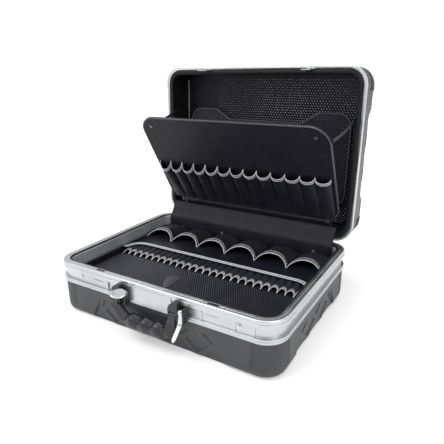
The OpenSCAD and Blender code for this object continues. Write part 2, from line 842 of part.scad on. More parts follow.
// On the board, x runs along it, z up it, and -y is its front.
module board_sheet(front, t) {
    on_board() translate([0, front + t, 0]) rotate([90, 0, 0]) linear_extrude(t) children();
}
module tool_board() {
    hem_end = tool_w / 2 - bracket_in - bracket_t / 2 - gap;
    color("#232328") difference() {
        union() {
            board_sheet(-tool_t / 2, tool_t) translate([0, 5]) tool_outline(0);
            rod(board_pin_r + 1.8, -hem_end, hem_end, tool_y, tool_z);
            on_board() translate([-hem_end, -tool_t / 2, 0]) cube([2 * hem_end, tool_t, 8]);
        }
        rod(board_pin_r + 0.05, -hem_end - 1, hem_end + 1, tool_y, tool_z);
        for (s = [-1, 1]) on_board() translate([s * (tool_w / 2 - bracket_in), 0, 0])
            cube([bracket_t + 2 * gap, 30, 2 * board_eye_r + 1.2], center = true);
    }
}
module tool_board_piping() {
    color("#55555b") board_sheet(-tool_t / 2 - 0.9, 0.9) translate([0, 5]) difference() {
        tool_outline(0);
        tool_outline(2.4);
    }
}
tool_pitch = (tool_w - 16) / tool_count;
// Half a cone, open at the top, closed to a slit at the bottom.
module tool_pocket(r_top, r_low, len, t) {
    rotate([0, 0, 180]) rotate_extrude(angle = 180)
        polygon([[r_top, len], [r_low, 0], [r_low - t, 0], [r_top - t, len]]);
}
module tool_pockets() {
    color("#1b1b20") on_board() for (i = [0:tool_count - 1])
        translate([(i - (tool_count - 1) / 2) * tool_pitch, -tool_t / 2 - gap, 12])
            tool_pocket(tool_r, tool_r * 0.55, tool_open - 12, pocket_wall);
}
module tool_pocket_piping() {
    color("#b8b8b8") on_board() for (i = [0:tool_count - 1])
        translate([(i - (tool_count - 1) / 2) * tool_pitch, -tool_t / 2 - gap, tool_open])
            rotate([0, 0, 180]) rotate_extrude(angle = 180)
                translate([tool_r - pocket_wall / 2, piping / 2]) circle(piping / 2, $fn = 16);
}
module tool_board_rivets() {
    color("#c8cbce") for (s = [-1, 1]) on_board()
        translate([s * (tool_w / 2 - 26), -tool_t / 2, tool_h - 18]) rotate([90, 0, 0])
            cylinder(r = 3.5, h = 1.4);
}
board_pin_r = 2;
board_eye_r = 4.5;
bracket_t = 6;
bracket_in = 26;
module board_hinge_pin() {
    pin_end = tool_w / 2 - bracket_in + bracket_t / 2;
    color("#8e9296") rod(board_pin_r, -pin_end, pin_end, tool_y, tool_z);
}
module board_hinge_brackets() {
    eye_y = half_d - tool_in;
    eye_z = base_h + rim_gap - tool_below;
    color("#3a3a3f") on_lid() for (s = [-1, 1]) {
        x = s * (tool_w / 2 - bracket_in) - bracket_t / 2;
        difference() {
            union() {
                rod(board_eye_r, x, x + bracket_t, eye_y, eye_z);
                translate([x, eye_y - board_eye_r, eye_z]) cube([bracket_t, 2 * board_eye_r, 16]);
                translate([x, eye_y - board_eye_r, eye_z + 10])
                    cube([bracket_t, tool_in - lining_in - lining_t - gap + board_eye_r, 9]);
            }
            rod(board_pin_r + 0.04, x - 1, x + bracket_t + 1, eye_y, eye_z);
        }
    }
}

// The straps that stop the board as it leans out.
module strap(s) {
    board_x = tool_w / 2 + gap;
    wall_x = half_w - lining_in - lining_t - gap - 1;
    up = tool_h - 30;
    strap_w = 8;
    strap_back = 36;
    color("#33333a") hull() {
        translate([s > 0 ? board_x : -board_x - 1, tool_y - sin(tool_lean) * up - 5,
                   tool_z + cos(tool_lean) * up]) cube([1, strap_w, strap_w + 2]);
        translate([s > 0 ? wall_x : -wall_x - 1, tool_y + strap_back, tool_z + tool_h - 27])
            cube([1, strap_w, strap_w + 2]);
    }
}
module board_strap_left() { strap(-1); }
module board_strap_right() { strap(1); }

// The flexible sheet that covers the hinge side, from the boards in the base to the lid.
spine_side = 28;
spine_w = case_w - 2 * spine_side;
spine_t = 1.4;
module spine_sheet() {
    color("#1b1b20") rotate([90, 0, 90]) translate([0, 0, -spine_w / 2]) linear_extrude(spine_w)
        polygon(concat(
            [for (p = spine_line) p],
            [for (i = [len(spine_line) - 1:-1:0]) spine_line[i] + [spine_t, 0]]));
}
spine_line = [[board_back - 6, rear_board_z + board_t + 0.2], [board_back - 6, base_h - 17],
              [board_back - 4.2, base_h - 1], [board_back + 4, base_h + 8],
              [board_back + 10, base_h + 20], [half_d + 1, tool_z - 6]];
module spine_rivets() {
    color("#c8cbce") for (i = [0:3])
        translate([(i - 1.5) * spine_w * 0.27, board_back - 6, base_h - 20]) rotate([90, 0, 0]) cylinder(r = 3.5, h = 1.4);
}

base_shell();
base_frame();
base_lining();
frame_joint_plate();
front_plate();
lock_cover_left();
lock_cover_right();
cover_rivets();
front_board();
rear_board();
rear_board_piping();
small_pockets();
small_pocket_piping();
large_pockets();
large_pocket_piping();
divider_tab();
latch_housing_left();
latch_housing_right();
hinge_leaves_base();
hinge_leaf_rivets_base();
hinge_pins();
spine_sheet();
spine_rivets();
latch_lever_left();
latch_lever_right();
lever_pins();
lock_bolt_left();
lock_bolt_right();
handle_arm_left();
handle_arm_right();
handle_grip();
handle_pins();
lid_shell();
lid_frame();
lid_seal();
lid_lining();
lid_back_panel();
lid_catches();
hinge_leaves_lid();
hinge_leaf_rivets_lid();
document_panel();
document_panel_piping();
document_panel_rivets();
tool_board();
tool_board_piping();
tool_pockets();
tool_pocket_piping();
tool_board_rivets();
board_hinge_pin();
board_hinge_brackets();
board_strap_left();
board_strap_right();
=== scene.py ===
# %% [markdown]
# # A hard tool case
# The case is two ribbed ABS shells, each held in an aluminium channel frame. This lesson
# starts from the engineered solids and gives every piece its finish. Pieces that are cloth,
# binding or fine moulded detail are built again here, on the same places as their solids.
# Blender works in metres. Sizes are written in millimetres and multiplied by MM.

# %% Load the solids and the tools
import math
import bpy
import bmesh
import numpy as np
from mathutils import Matrix, Vector, noise


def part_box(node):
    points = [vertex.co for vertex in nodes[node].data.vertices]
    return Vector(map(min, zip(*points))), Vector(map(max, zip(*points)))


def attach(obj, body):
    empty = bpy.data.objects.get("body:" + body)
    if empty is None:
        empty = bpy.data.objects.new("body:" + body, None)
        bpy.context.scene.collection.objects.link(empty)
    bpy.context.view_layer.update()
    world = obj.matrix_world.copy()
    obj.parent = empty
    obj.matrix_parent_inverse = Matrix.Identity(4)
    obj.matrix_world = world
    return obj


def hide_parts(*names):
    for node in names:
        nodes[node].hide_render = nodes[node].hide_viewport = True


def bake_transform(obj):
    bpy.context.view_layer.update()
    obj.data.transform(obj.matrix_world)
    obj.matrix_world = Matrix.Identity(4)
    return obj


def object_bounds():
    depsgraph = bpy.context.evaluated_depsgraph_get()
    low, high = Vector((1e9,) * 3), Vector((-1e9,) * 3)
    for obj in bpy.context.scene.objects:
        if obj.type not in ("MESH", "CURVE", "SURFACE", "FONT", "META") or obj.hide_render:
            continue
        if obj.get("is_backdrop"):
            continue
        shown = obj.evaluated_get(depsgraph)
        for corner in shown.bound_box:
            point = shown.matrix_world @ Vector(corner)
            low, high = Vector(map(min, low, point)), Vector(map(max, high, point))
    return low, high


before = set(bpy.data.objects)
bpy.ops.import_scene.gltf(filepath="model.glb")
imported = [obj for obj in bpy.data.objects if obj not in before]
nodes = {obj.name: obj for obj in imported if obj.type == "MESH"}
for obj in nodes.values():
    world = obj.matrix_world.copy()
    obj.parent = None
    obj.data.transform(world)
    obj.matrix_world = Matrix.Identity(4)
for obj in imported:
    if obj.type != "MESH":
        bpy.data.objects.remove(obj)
MM = 0.001
scene = bpy.context.scene
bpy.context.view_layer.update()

# %% [markdown]
# ## The camera
# It stands to the right of the front and looks down on the open case. A camera can be
# aimed with a constraint or turned by hand. Here its matrix is worked out from two angles
# and a small roll, because those three numbers are easy to read and to correct.

# %% Set the camera
CAMERA_PLACE = Vector((0.4276, -0.6507, 0.4336))
AZIMUTH, ELEVATION, ROLL = 31.09, 19.19, -0.48
LENS = 35.14

def look_from(place, azimuth, elevation, roll):
    """The matrix of a camera at a place, looking back along two angles in degrees."""
    az, el, ro = math.radians(azimuth), math.radians(elevation), math.radians(roll)
    ahead = Vector((-math.sin(az) * math.cos(el), math.cos(az) * math.cos(el), -math.sin(el)))
    right = Vector((math.cos(az), math.sin(az), 0))
    up = right.cross(ahead)
    side = math.cos(ro) * right + math.sin(ro) * up
    top = -math.sin(ro) * right + math.cos(ro) * up
    m = Matrix((side, top, -ahead)).transposed().to_4x4()
    m.translation = place
    return m

camera_data = bpy.data.cameras.new("camera")
camera_data.sensor_fit = "HORIZONTAL"
camera_data.sensor_width = 36
camera_data.lens = LENS
camera = bpy.data.objects.new("camera", camera_data)
scene.collection.objects.link(camera)
camera.matrix_world = look_from(CAMERA_PLACE, AZIMUTH, ELEVATION, ROLL)
scene.camera = camera
scene.view_settings.view_transform = "Standard"
print("camera at", [round(v, 3) for v in camera.location], "lens", camera_data.lens, "mm")

# %% [markdown]
# ## Colours and nodes
# A maker's colour is written as a hex value, which is sRGB. Shaders work in linear light,
# so one function turns every hex into linear numbers. A material can be wired by hand in
# the shader editor. In a script, one small function that adds a node with its values and
# links keeps a whole material down to a few lines.

# %% Colours, nodes and new materials
def linear(colour):
    """A hex colour as linear red, green, blue and alpha."""
    parts = [int(colour[i:i + 2], 16) / 255 for i in (1, 3, 5)]
    return [c / 12.92 if c <= 0.04045 else ((c + 0.055) / 1.055) ** 2.4 for c in parts] + [1.0]

def add(tree, kind, values=(), links=(), **settings):
    """Adds a node, with its settings, its input values and the links that come into it."""
    new = tree.nodes.new(kind)
    for key, value in settings.items():
        setattr(new, key, value)
    for key, value in dict(values).items():
        new.inputs[key].default_value = value
    for key, source in dict(links).items():
        tree.links.new(source, new.inputs[key])
    return new

def start_material(name, colour, **shader):
    """A new material: its tree and its shader, with the plain values set on the shader."""
    material = bpy.data.materials.new(name)
    material.use_nodes = True
    tree = material.node_tree
    bsdf = tree.nodes["Principled BSDF"]
    bsdf.inputs["Base Color"].default_value = linear(colour)
    for key, value in shader.items():
        bsdf.inputs[key.replace("_", " ").title().replace("Ior", "IOR")].default_value = value
    return material, tree, bsdf

def wire(tree, bsdf, **sources):
    """Links what the nodes made to the shader's base colour, roughness or normal."""
    for key, source in sources.items():
        tree.links.new(source, bsdf.inputs[key.replace("_", " ").title()])

print("charcoal in linear light:", [round(c, 4) for c in linear("#434446")[:3]])

# %% [markdown]
# ## Patterns at their real size
# Noise scales count spots per metre, which says little. These helpers take the size of a
# spot in millimetres instead. They read Object coordinates, so a pattern keeps its size on
# every piece and needs no unwrapping.

# %% Places, spots and masks
def per_mm(size):
    """The noise scale whose spots are about this many millimetres across."""
    return 1 / (size * MM)

def object_place(tree, stretch=(1, 1, 1)):
    """Where a point is on the object, stretched so that a pattern can run along one way."""
    place = add(tree, "ShaderNodeTexCoord").outputs["Object"]
    return add(tree, "ShaderNodeMapping", {"Scale": stretch}, {"Vector": place}).outputs["Vector"]

def spots(tree, place, size, detail=2.0):
    """Noise with spots of one size, in millimetres."""
    return add(tree, "ShaderNodeTexNoise", {"Scale": per_mm(size), "Detail": detail, "Roughness": 0.5},
               {"Vector": place}).outputs["Fac"]

def spread(tree, source, low, high, to_low, to_high):
    """Maps a range of numbers to another, and clamps it."""
    return add(tree, "ShaderNodeMapRange", {"From Min": low, "From Max": high, "To Min": to_low, "To Max": to_high},
               {"Value": source}).outputs["Result"]

def two_colours(tree, mask, first, second):
    """The first colour where the mask is 0, and the second where it is 1."""
    mix = add(tree, "ShaderNodeMix", links={"Factor": mask}, data_type="RGBA")
    for name, value in (("A", first), ("B", second)):
        socket = [s for s in mix.inputs if s.name == name and s.type == "RGBA"][0]
        if isinstance(value, str):
            socket.default_value = linear(value)
        else:
            tree.links.new(value, socket)
    return [s for s in mix.outputs if s.type == "RGBA"][0]

print("a 1.4 mm grain is a noise scale of", round(per_mm(1.4)))

# %% [markdown]
# ## Bumps and worn edges
# A bump shows relief that is too fine for geometry, and its depth is given in millimetres.
# A real edge is rounded, and hands rub it first. The Bevel node rounds the shading of an
# edge. Where its direction leaves the true one, the edge is near, and that is the mask for
# wear.

# %% Bumps, soft edges and wear
def raised(tree, height, depth, under=None):
    """A bump of a real depth in millimetres, on top of another bump if one is given."""
    links = {"Height": height}
    if under is not None:
        links["Normal"] = under
    return add(tree, "ShaderNodeBump", {"Strength": 1.0, "Distance": depth * MM}, links).outputs["Normal"]

def soft_edges(tree, radius):
    """The surface's direction with its sharp edges rounded off, in millimetres."""
    return add(tree, "ShaderNodeBevel", {"Radius": radius * MM}, samples=4).outputs["Normal"]

def worn_edges(tree, radius):
    """1 along sharp edges and 0 on flats: the rounded normal leaves the true one there."""
    true = add(tree, "ShaderNodeNewGeometry").outputs["Normal"]
    near = add(tree, "ShaderNodeVectorMath", links={0: soft_edges(tree, radius), 1: true},
               operation="DOT_PRODUCT").outputs["Value"]
    return spread(tree, near, 0.995, 0.75, 0, 1)

print("material helpers ready")

# %% [markdown]
# ## The shells: moulded ABS
# The shells are injection moulded. ABS takes the fine matt grain of a spark-eroded mould,
# and handling polishes its edges, so they turn a little lighter. The grain could be an
# image texture, but noise has no seams on a moulded corner. The real grain is about
# 0.3 mm, too fine to show at this size, so it is drawn at 1.4 mm with a weak bump. Clouds
# of 60 mm keep large faces from looking painted.

# %% Moulded ABS
def moulded_abs(name, colour, cloudy, wear_and_sheen):
    material, tree, bsdf = start_material(name, colour, roughness=0.5, ior=1.54)
    place = object_place(tree)
    grain = spots(tree, place, 1.4, 3)
    clouds = spread(tree, spots(tree, place, 60), 0.35, 0.65, 0, 1)
    wire(tree, bsdf,
         base_color=two_colours(tree, worn_edges(tree, 1.2), two_colours(tree, clouds, colour, cloudy), wear_and_sheen),
         roughness=spread(tree, grain, 0.3, 0.7, 0.42, 0.58),
         normal=raised(tree, grain, 0.08, soft_edges(tree, 1.2)))
    return material

shell_abs = moulded_abs("moulded ABS, charcoal", "#434446", "#3d3e40", "#67686a")
print("made", shell_abs.name)

# %% [markdown]
# ## The frame: drawn aluminium, natural anodised
# The profile is drawn through a die, which leaves fine lines along it, and anodising keeps
# it satin. An anisotropic shader could smear the reflections, but it needs a direction on
# every face. Stretched noise is simpler: short across the profile and long along it. The
# drawing lines are really 0.1 mm apart and are drawn at 0.7 mm. The inner wall is matt,
# because it is only etched, so it is less metallic here.

# %% Anodised aluminium
def drawn_aluminium(name, colour, dull, rough, across, size=0.7, metallic=1.0):
    """across is the direction in which the lines are close together."""
    material, tree, bsdf = start_material(name, colour, metallic=metallic, roughness=rough)
    lines = spots(tree, object_place(tree, [1 if axis == across else 0.02 for axis in "xyz"]), size)
    rubbed = spots(tree, object_place(tree), 90)
    grey = two_colours(tree, spread(tree, rubbed, 0.35, 0.7, 0, 1), colour, dull)
    satin = add(tree, "ShaderNodeMath", links={
        0: spread(tree, lines, 0.3, 0.7, -0.07, 0.07),
        1: spread(tree, rubbed, 0.3, 0.7, rough - 0.05, rough + 0.1)}, operation="ADD").outputs["Value"]
    wire(tree, bsdf, base_color=two_colours(tree, worn_edges(tree, 0.8), grey, "#dcdddf"), roughness=satin,
         normal=raised(tree, lines, 0.006, soft_edges(tree, 0.5)))
    return material

base_aluminium = drawn_aluminium("anodised aluminium, drawn, base", "#c6c8ca", "#bcbec0", 0.32, "z")
lid_aluminium = drawn_aluminium("anodised aluminium, drawn, lid", "#c6c8ca", "#bcbec0", 0.34, "y")
plate_aluminium = drawn_aluminium("aluminium plate, rolled", "#c4c6c8", "#bbbdbf", 0.34, "z", 1.1)
wall_aluminium = drawn_aluminium("anodised aluminium, matt, inner wall", "#c0c2c5", "#8c8e91", 0.38, "z", 0.9, 0.25)
print("made 4 kinds of aluminium")

# %% [markdown]
# ## The fastenings
# Rivets are zinc plated, bright on the case and black on the boards. Pins are turned
# steel, and the levers are die-cast zinc under satin chrome. A metal gets its look from
# its tint and from how sharp its reflections are, so one function with those two makes
# them all. Its mottle is 1.5 to 5 mm wide, as plating clouds are.

# %% Plated and cast metals
def plated_metal(name, colour, dull, rough, spot=3.0):
    material, tree, bsdf = start_material(name, colour, metallic=1.0, roughness=rough)
    mottle = spots(tree, object_place(tree), spot, 3)
    wire(tree, bsdf, base_color=two_colours(tree, spread(tree, mottle, 0.35, 0.7, 0, 1), colour, dull),
         roughness=spread(tree, mottle, 0.3, 0.7, rough - 0.05, rough + 0.08),
         normal=raised(tree, mottle, 0.02))
    return material

rivet_zinc = plated_metal("zinc plated rivet", "#d9dadc", "#c3c5c8", 0.42)
rivet_black = plated_metal("black zinc plated rivet", "#7c7d80", "#626366", 0.5)
pin_steel = plated_metal("turned steel", "#b4b7ba", "#999ca0", 0.28, 1.5)
lever_chrome = plated_metal("satin chrome on cast zinc", "#d0d1d3", "#c2c3c5", 0.2, 5)
bolt_steel = plated_metal("zinc plated steel, pressed", "#c4c7c9", "#adb0b3", 0.34, 2)
print("made 5 metals")

# %% [markdown]
# ## The boards: rolled polypropylene sheet
# The boards and linings are black polypropylene. It is waxy, so it is smoother than ABS and
# its reflections are weak. The rollers leave pits of about 1 mm, and handling leaves a
# haze. The seal is EPDM rubber, which is matt and takes the same treatment.

# %% Rolled sheet
def rolled_sheet(name, colour, pale, rough=0.42):
    material, tree, bsdf = start_material(name, colour, roughness=rough, ior=1.49, specular_ior_level=0.28)
    place = object_place(tree)
    haze = spread(tree, spots(tree, place, 35, 3), 0.35, 0.7, 0, 1)
    pits = spots(tree, place, 1.2)
    wire(tree, bsdf, base_color=two_colours(tree, haze, colour, pale),
         roughness=spread(tree, pits, 0.3, 0.7, rough - 0.06, rough + 0.08),
         normal=raised(tree, pits, 0.05))
    return material

board_sheet = rolled_sheet("polypropylene sheet, rolled", "#14141c", "#1b1b25")
# The lid's panel is the boards' sheet painted darker: painted shade on the lid's panel.
lid_sheet_painted_darker = rolled_sheet("polypropylene sheet, lid, painted darker", "#0c0c12", "#12121a")
# The leaf is the boards' sheet painted much paler: painted light on its raised face.
lit_leaf_sheet = rolled_sheet("polypropylene sheet, thin, painted paler", "#4b4b52", "#58585f", 0.4)
lining_sheet = rolled_sheet("lining board, black", "#131315", "#1a1a1d", 0.45)
seal_rubber = rolled_sheet("EPDM seal rubber", "#0d0d10", "#141418", 0.62)
print("made 5 sheet finishes")

# %% [markdown]
# ## The nubs: the same sheet, painted paler
# The nubs are the board's own sheet, made glossier and painted paler than the sheet between
# them: the paler colour is a painted highlight on their tops. On the lid and the front board
# it is also painted lighter towards one side, as painted light. There the colour goes from
# one side to the other with the place across, in millimetres, and noise breaks it up.

# %% Nub finishes
def painted_highlight_nubs(name, left, right, start, end, rough):
    """Nubs with a painted highlight: the colour goes from left to right between two places across, in mm."""
    material, tree, bsdf = start_material(name, left, roughness=rough, ior=1.49, specular_ior_level=0.35)
    place = object_place(tree)
    across = add(tree, "ShaderNodeSeparateXYZ", links={"Vector": place}).outputs["X"]
    way = spread(tree, across, start * MM, end * MM, 0, 0.85)
    uneven = spread(tree, spots(tree, place, 45), 0.35, 0.65, -0.15, 0.15)
    wear_and_sheen = add(tree, "ShaderNodeMath", links={0: way, 1: uneven}, operation="ADD").outputs["Value"]
    wire(tree, bsdf, base_color=two_colours(tree, spread(tree, wear_and_sheen, 0, 1, 0, 1), left, right),
         roughness=spread(tree, spots(tree, place, 1.2), 0.3, 0.7, rough - 0.06, rough + 0.08))
    return material

# Painted highlight on the lid's nubs: dark grey at the left, nearly white at the right.
lid_nub_sheet = painted_highlight_nubs("polypropylene nubs, lid, painted highlight", "#404047", "#e9e9f0", -160, 80, 0.22)
# Painted light on the front board's nubs: paler at the left, darker at the right.
front_nub_sheet = painted_highlight_nubs("polypropylene nubs, base, painted highlight", "#74747f", "#2b2b31", -150, 150, 0.3)
# Painted highlight: these nubs are painted paler than the sheet they stand on.
document_nub_sheet = rolled_sheet("polypropylene nubs, rolled", "#5a5a64", "#6a6a75", 0.3)
board_nub_sheet = rolled_sheet("polypropylene nubs, tool board", "#2a2a33", "#35353f", 0.3)
print("made 4 nub finishes")

# %% [markdown]
# ## The pockets: vinyl leathercloth
# Leathercloth is woven cotton with an embossed vinyl face. Its grain is cells of skin with
# creases between them, which is what a Voronoi pattern's distance to its edges gives. The
# real cells are about 0.8 mm and are drawn at 1.6 mm. Noise of 26 mm lies under them as
# soft folds, and the creases are rougher than the skin.

# %% Leathercloth
def leathercloth(name, colour, pale):
    material, tree, bsdf = start_material(name, colour, roughness=0.55, ior=1.5, specular_ior_level=0.3)
    place = object_place(tree)
    cells = add(tree, "ShaderNodeTexVoronoi", {"Scale": per_mm(1.6)}, {"Vector": place},
                feature="DISTANCE_TO_EDGE").outputs["Distance"]
    folds = spots(tree, place, 26, 3)
    skin = spread(tree, cells, 0.0, 0.18, 0, 1)
    wire(tree, bsdf, base_color=two_colours(tree, spread(tree, folds, 0.4, 0.7, 0, 1), colour, pale),
         roughness=spread(tree, skin, 0, 1, 0.67, 0.5),
         normal=raised(tree, skin, 0.09, raised(tree, folds, 0.5)))
    return material

pocket_cloth = leathercloth("vinyl leathercloth, black", "#1c1c25", "#262631")
spine_cloth = leathercloth("vinyl leathercloth, spine", "#121219", "#1b1b24")
print("made 2 cloths")

# %% [markdown]
# ## The bindings: extruded PVC
# Every pocket's mouth is bound in a soft grey PVC channel. Extrusion leaves it smooth, and
# tools rub it dull in patches of about 6 mm, which break up its long highlights.

# %% PVC binding
def binding_pvc(name, colour, dull):
    material, tree, bsdf = start_material(name, colour, roughness=0.42, ior=1.53)
    rubbed = spots(tree, object_place(tree), 6, 3)
    wire(tree, bsdf, base_color=two_colours(tree, spread(tree, rubbed, 0.35, 0.7, 0, 1), colour, dull),
         roughness=spread(tree, rubbed, 0.3, 0.7, 0.34, 0.52),
         normal=raised(tree, rubbed, 0.04))
    return material

grey_binding = binding_pvc("grey PVC binding", "#dfe0e2", "#c9cacd")
# The band's face is the binding's own grey PVC, painted darker: painted shade.
shaded_band_pvc = binding_pvc("grey PVC binding, face, painted shade", "#919396", "#808285")
dark_binding = binding_pvc("dark PVC binding", "#5e5e65", "#4a4a51")
print("made 3 bindings")

# %% [markdown]
# ## The handle: nylon and soft rubber
# The housings and the handle's arms are glass-filled nylon, which is harder and a little
# glossier than the shells. The grip is soft rubber moulded over them, with a satin skin.
# Both are black and differ only in grain and gloss, so they share one function. Their
# mould grain is really about 0.3 mm and is drawn at 1.2 and 1.8 mm, so that it shows.

# %% Handle and housing
def moulded_grip(name, colour, pale, rough, grain_size):
    material, tree, bsdf = start_material(name, colour, roughness=rough, ior=1.5)
    grain = spots(tree, object_place(tree), grain_size)
    wire(tree, bsdf, base_color=two_colours(tree, worn_edges(tree, 1.0), colour, pale),
         roughness=spread(tree, grain, 0.3, 0.7, rough - 0.08, rough + 0.08),
         normal=raised(tree, grain, 0.05, soft_edges(tree, 1.5)))
    return material

handle_nylon = moulded_grip("glass-filled nylon, black", "#29292c", "#4a4a4e", 0.42, 1.2)
grip_rubber = moulded_grip("soft rubber, black", "#222228", "#3c3c42", 0.34, 1.8)
print("made 2 grip finishes")

# %% [markdown]
# ## Finishes on the solids
# A solid whose shape is right keeps its mesh and only takes a finish. Solids that are built
# again below get one too, because they stay in the model, unseen, for its collisions.

# %% Give every solid its finish
finishes = {
    shell_abs: ["base_shell", "lid_shell"],
    base_aluminium: ["base_frame"],
    lid_aluminium: ["lid_frame"],
    plate_aluminium: ["frame_joint_plate", "lock_cover_left", "lock_cover_right", "hinge_leaves_base",
                      "hinge_leaves_lid", "front_plate"],
    rivet_zinc: ["cover_rivets", "hinge_leaf_rivets_base", "hinge_leaf_rivets_lid", "spine_rivets"],
    rivet_black: ["document_panel_rivets", "tool_board_rivets"],
    pin_steel: ["hinge_pins", "lever_pins", "handle_pins", "board_hinge_pin"],
    bolt_steel: ["lock_bolt_left", "lock_bolt_right", "lid_catches"],
    lever_chrome: ["latch_lever_left", "latch_lever_right"],
    board_sheet: ["front_board", "rear_board", "document_panel", "tool_board", "divider_tab"],
    lid_sheet_painted_darker: ["lid_back_panel"],
    lining_sheet: ["base_lining", "lid_lining"],
    pocket_cloth: ["small_pockets", "large_pockets", "tool_pockets", "board_strap_left", "board_strap_right"],
    spine_cloth: ["spine_sheet"],
    grey_binding: ["rear_board_piping", "small_pocket_piping", "large_pocket_piping", "tool_pocket_piping"],
    dark_binding: ["document_panel_piping", "tool_board_piping"],
    handle_nylon: ["latch_housing_left", "latch_housing_right", "handle_arm_left", "handle_arm_right",
                   "board_hinge_brackets"],
    grip_rubber: ["handle_grip"],
    seal_rubber: ["lid_seal"],
}
for material, names in finishes.items():
    for name in names:
        mesh = nodes[name].data
        mesh.materials.clear()
        mesh.materials.append(material)
finished = sum(len(names) for names in finishes.values())
print("finished", finished, "of", len(nodes), "solids")

# %% [markdown]
# ## Where the moving parts stand
# The lid stands open by 92 degrees and the tool board leans 30 degrees out of it. A piece
# could be made flat and then turned as an object, but a finished piece stays at the origin
# with its place in its mesh. So small functions put a point that is easy to write, on the
# closed lid or on the flat board, where it is on the open case.

# %% Frames of the lid and the tool board
HINGE = Vector((0, 177.5, 94)) * MM
LID_TURN = Matrix.Rotation(math.radians(-92), 3, "X")
LID_BACK_Y, LID_BACK_Z = 155.5, 165.2
BOARD_PIVOT = Vector((0, 180.5, 139.92)) * MM
BOARD_TURN = Matrix.Rotation(math.radians(30), 3, "X")

def on_lid(p):
    """A point of the closed case, in mm, where it is on the open lid."""
    return HINGE + LID_TURN @ (Vector(p) * MM - HINGE)

def on_lid_back(x, up, rise):
    """A point inside the lid: up from the hinge side, and rise above the back panel, in mm."""
    return on_lid((x, LID_BACK_Y - up, LID_BACK_Z - rise))

def on_tool_board(x, up, out):
    """A point on the tool board: up from its pivot, and out from its middle plane, in mm."""
    return BOARD_PIVOT + BOARD_TURN @ (Vector((x, -out, up)) * MM)

LID_INWARD = LID_TURN @ Vector((0, 0, -1))
BOARD_FORWARD = BOARD_TURN @ Vector((0, -1, 0))
print("lid faces", [round(v, 2) for v in LID_INWARD], "board faces", [round(v, 2) for v in BOARD_FORWARD])

# %% [markdown]
# ## New pieces
# Every piece that is built here starts as points and faces. Its faces must point outwards,
# or the shading and the exported file turn inside out, so their direction is worked out
# again when the mesh is closed.

# %% Make a piece
def new_piece(name, vertices, faces, material, edges=()):
    """A mesh object at the origin, with its place in its mesh."""
    mesh = bpy.data.meshes.new(name)
    mesh.from_pydata([tuple(v) for v in vertices], list(edges), faces)
    if material:
        mesh.materials.append(material)
    for polygon in mesh.polygons:
        polygon.use_smooth = True
    outward = bmesh.new()
    outward.from_mesh(mesh)
    bmesh.ops.recalc_face_normals(outward, faces=outward.faces)
    outward.to_mesh(mesh)
    outward.free()
    piece = bpy.data.objects.new(name, mesh)
    scene.collection.objects.link(piece)
    return piece

def triangles(piece):
    piece.data.calc_loop_triangles()
    return len(piece.data.loop_triangles)

print("pieces can be made")

# %% [markdown]
# ## Sheets with a thickness
# Cloth, webbing and thin plate are sheets through rows of points. A Solidify modifier could
# thicken them. Here the second side is made at once along each point's normal, which keeps
# the rows in order and the edge closed. Cloth also has a flat size, the piece that would be
# cut on a table, and that is measured along its rows.

# %% Thick sheets and their flat size
def thick_sheet(name, rows, thickness, material):
    """A closed sheet through rows of points: each vertex is doubled along its normal."""
    count_v, count_u = len(rows), len(rows[0])
    half = count_u * count_v
    p = np.array([[tuple(q) for q in row] for row in rows])
    n = np.cross(np.gradient(p, axis=1), np.gradient(p, axis=0))
    n /= np.maximum(np.linalg.norm(n, axis=2, keepdims=True), 1e-12)
    under = p - n * thickness * MM
    at = lambda v, u: v * count_u + u
    faces = []
    for v in range(count_v - 1):
        for u in range(count_u - 1):
            quad = [at(v, u), at(v, u + 1), at(v + 1, u + 1), at(v + 1, u)]
            faces.append(quad)
            faces.append([half + i for i in reversed(quad)])
    rim = [at(0, u) for u in range(count_u)] + [at(v, count_u - 1) for v in range(1, count_v)]
    rim += [at(count_v - 1, u) for u in range(count_u - 2, -1, -1)] + [at(v, 0) for v in range(count_v - 2, 0, -1)]
    for a, b in zip(rim, rim[1:] + rim[:1]):
        faces.append([b, a, half + a, half + b])
    return new_piece(name, list(p.reshape(-1, 3)) + list(under.reshape(-1, 3)), faces, material)

def sewn_cloth(piece, rows):
    """Measures a sheet through rows of points: its flat width, length and area, and prints the first two in mm."""
    p = np.array([[tuple(q) for q in row] for row in rows])
    across, down = np.diff(p, axis=1), np.diff(p, axis=0)
    wide = np.linalg.norm(across, axis=2).sum(axis=1).max()
    long = np.linalg.norm(down, axis=2).sum(axis=0).max()
    area = float(np.linalg.norm(np.cross(across[:-1], down[:, :-1]), axis=2).sum())
    area = min(area, wide * long)
    print(piece.name, "cut", round(wide / MM), "x", round(long / MM, 1), "mm")

print("sheets can be made")

# %% [markdown]
# ## Node trees: how they start, end and run
# Geometry Nodes suit things that repeat. Each tree here takes a seed mesh and named sizes.
# It ends by making its copies real and giving them a material, because an exported model
# keeps no instances. The result is then turned into a plain mesh.

# %% Geometry Nodes: start, end and run a tree
def start_tree(name, sockets):
    """A node group with a geometry input and output and named inputs."""
    group = bpy.data.node_groups.new(name, "GeometryNodeTree")
    group.interface.new_socket("Geometry", in_out="INPUT", socket_type="NodeSocketGeometry")
    group.interface.new_socket("Geometry", in_out="OUTPUT", socket_type="NodeSocketGeometry")
    for socket, kind in sockets:
        group.interface.new_socket(socket, in_out="INPUT", socket_type=kind)
    return group, add(group, "NodeGroupInput"), add(group, "NodeGroupOutput")

def end_tree(group, geometry, source, out):
    smooth = add(group, "GeometryNodeSetShadeSmooth", links={"Geometry": geometry})
    real = add(group, "GeometryNodeRealizeInstances", links={"Geometry": smooth.outputs["Geometry"]})
    paint = add(group, "GeometryNodeSetMaterial",
                links={"Geometry": real.outputs["Geometry"], "Material": source.outputs["Material"]})
    group.links.new(paint.outputs["Geometry"], out.inputs["Geometry"])

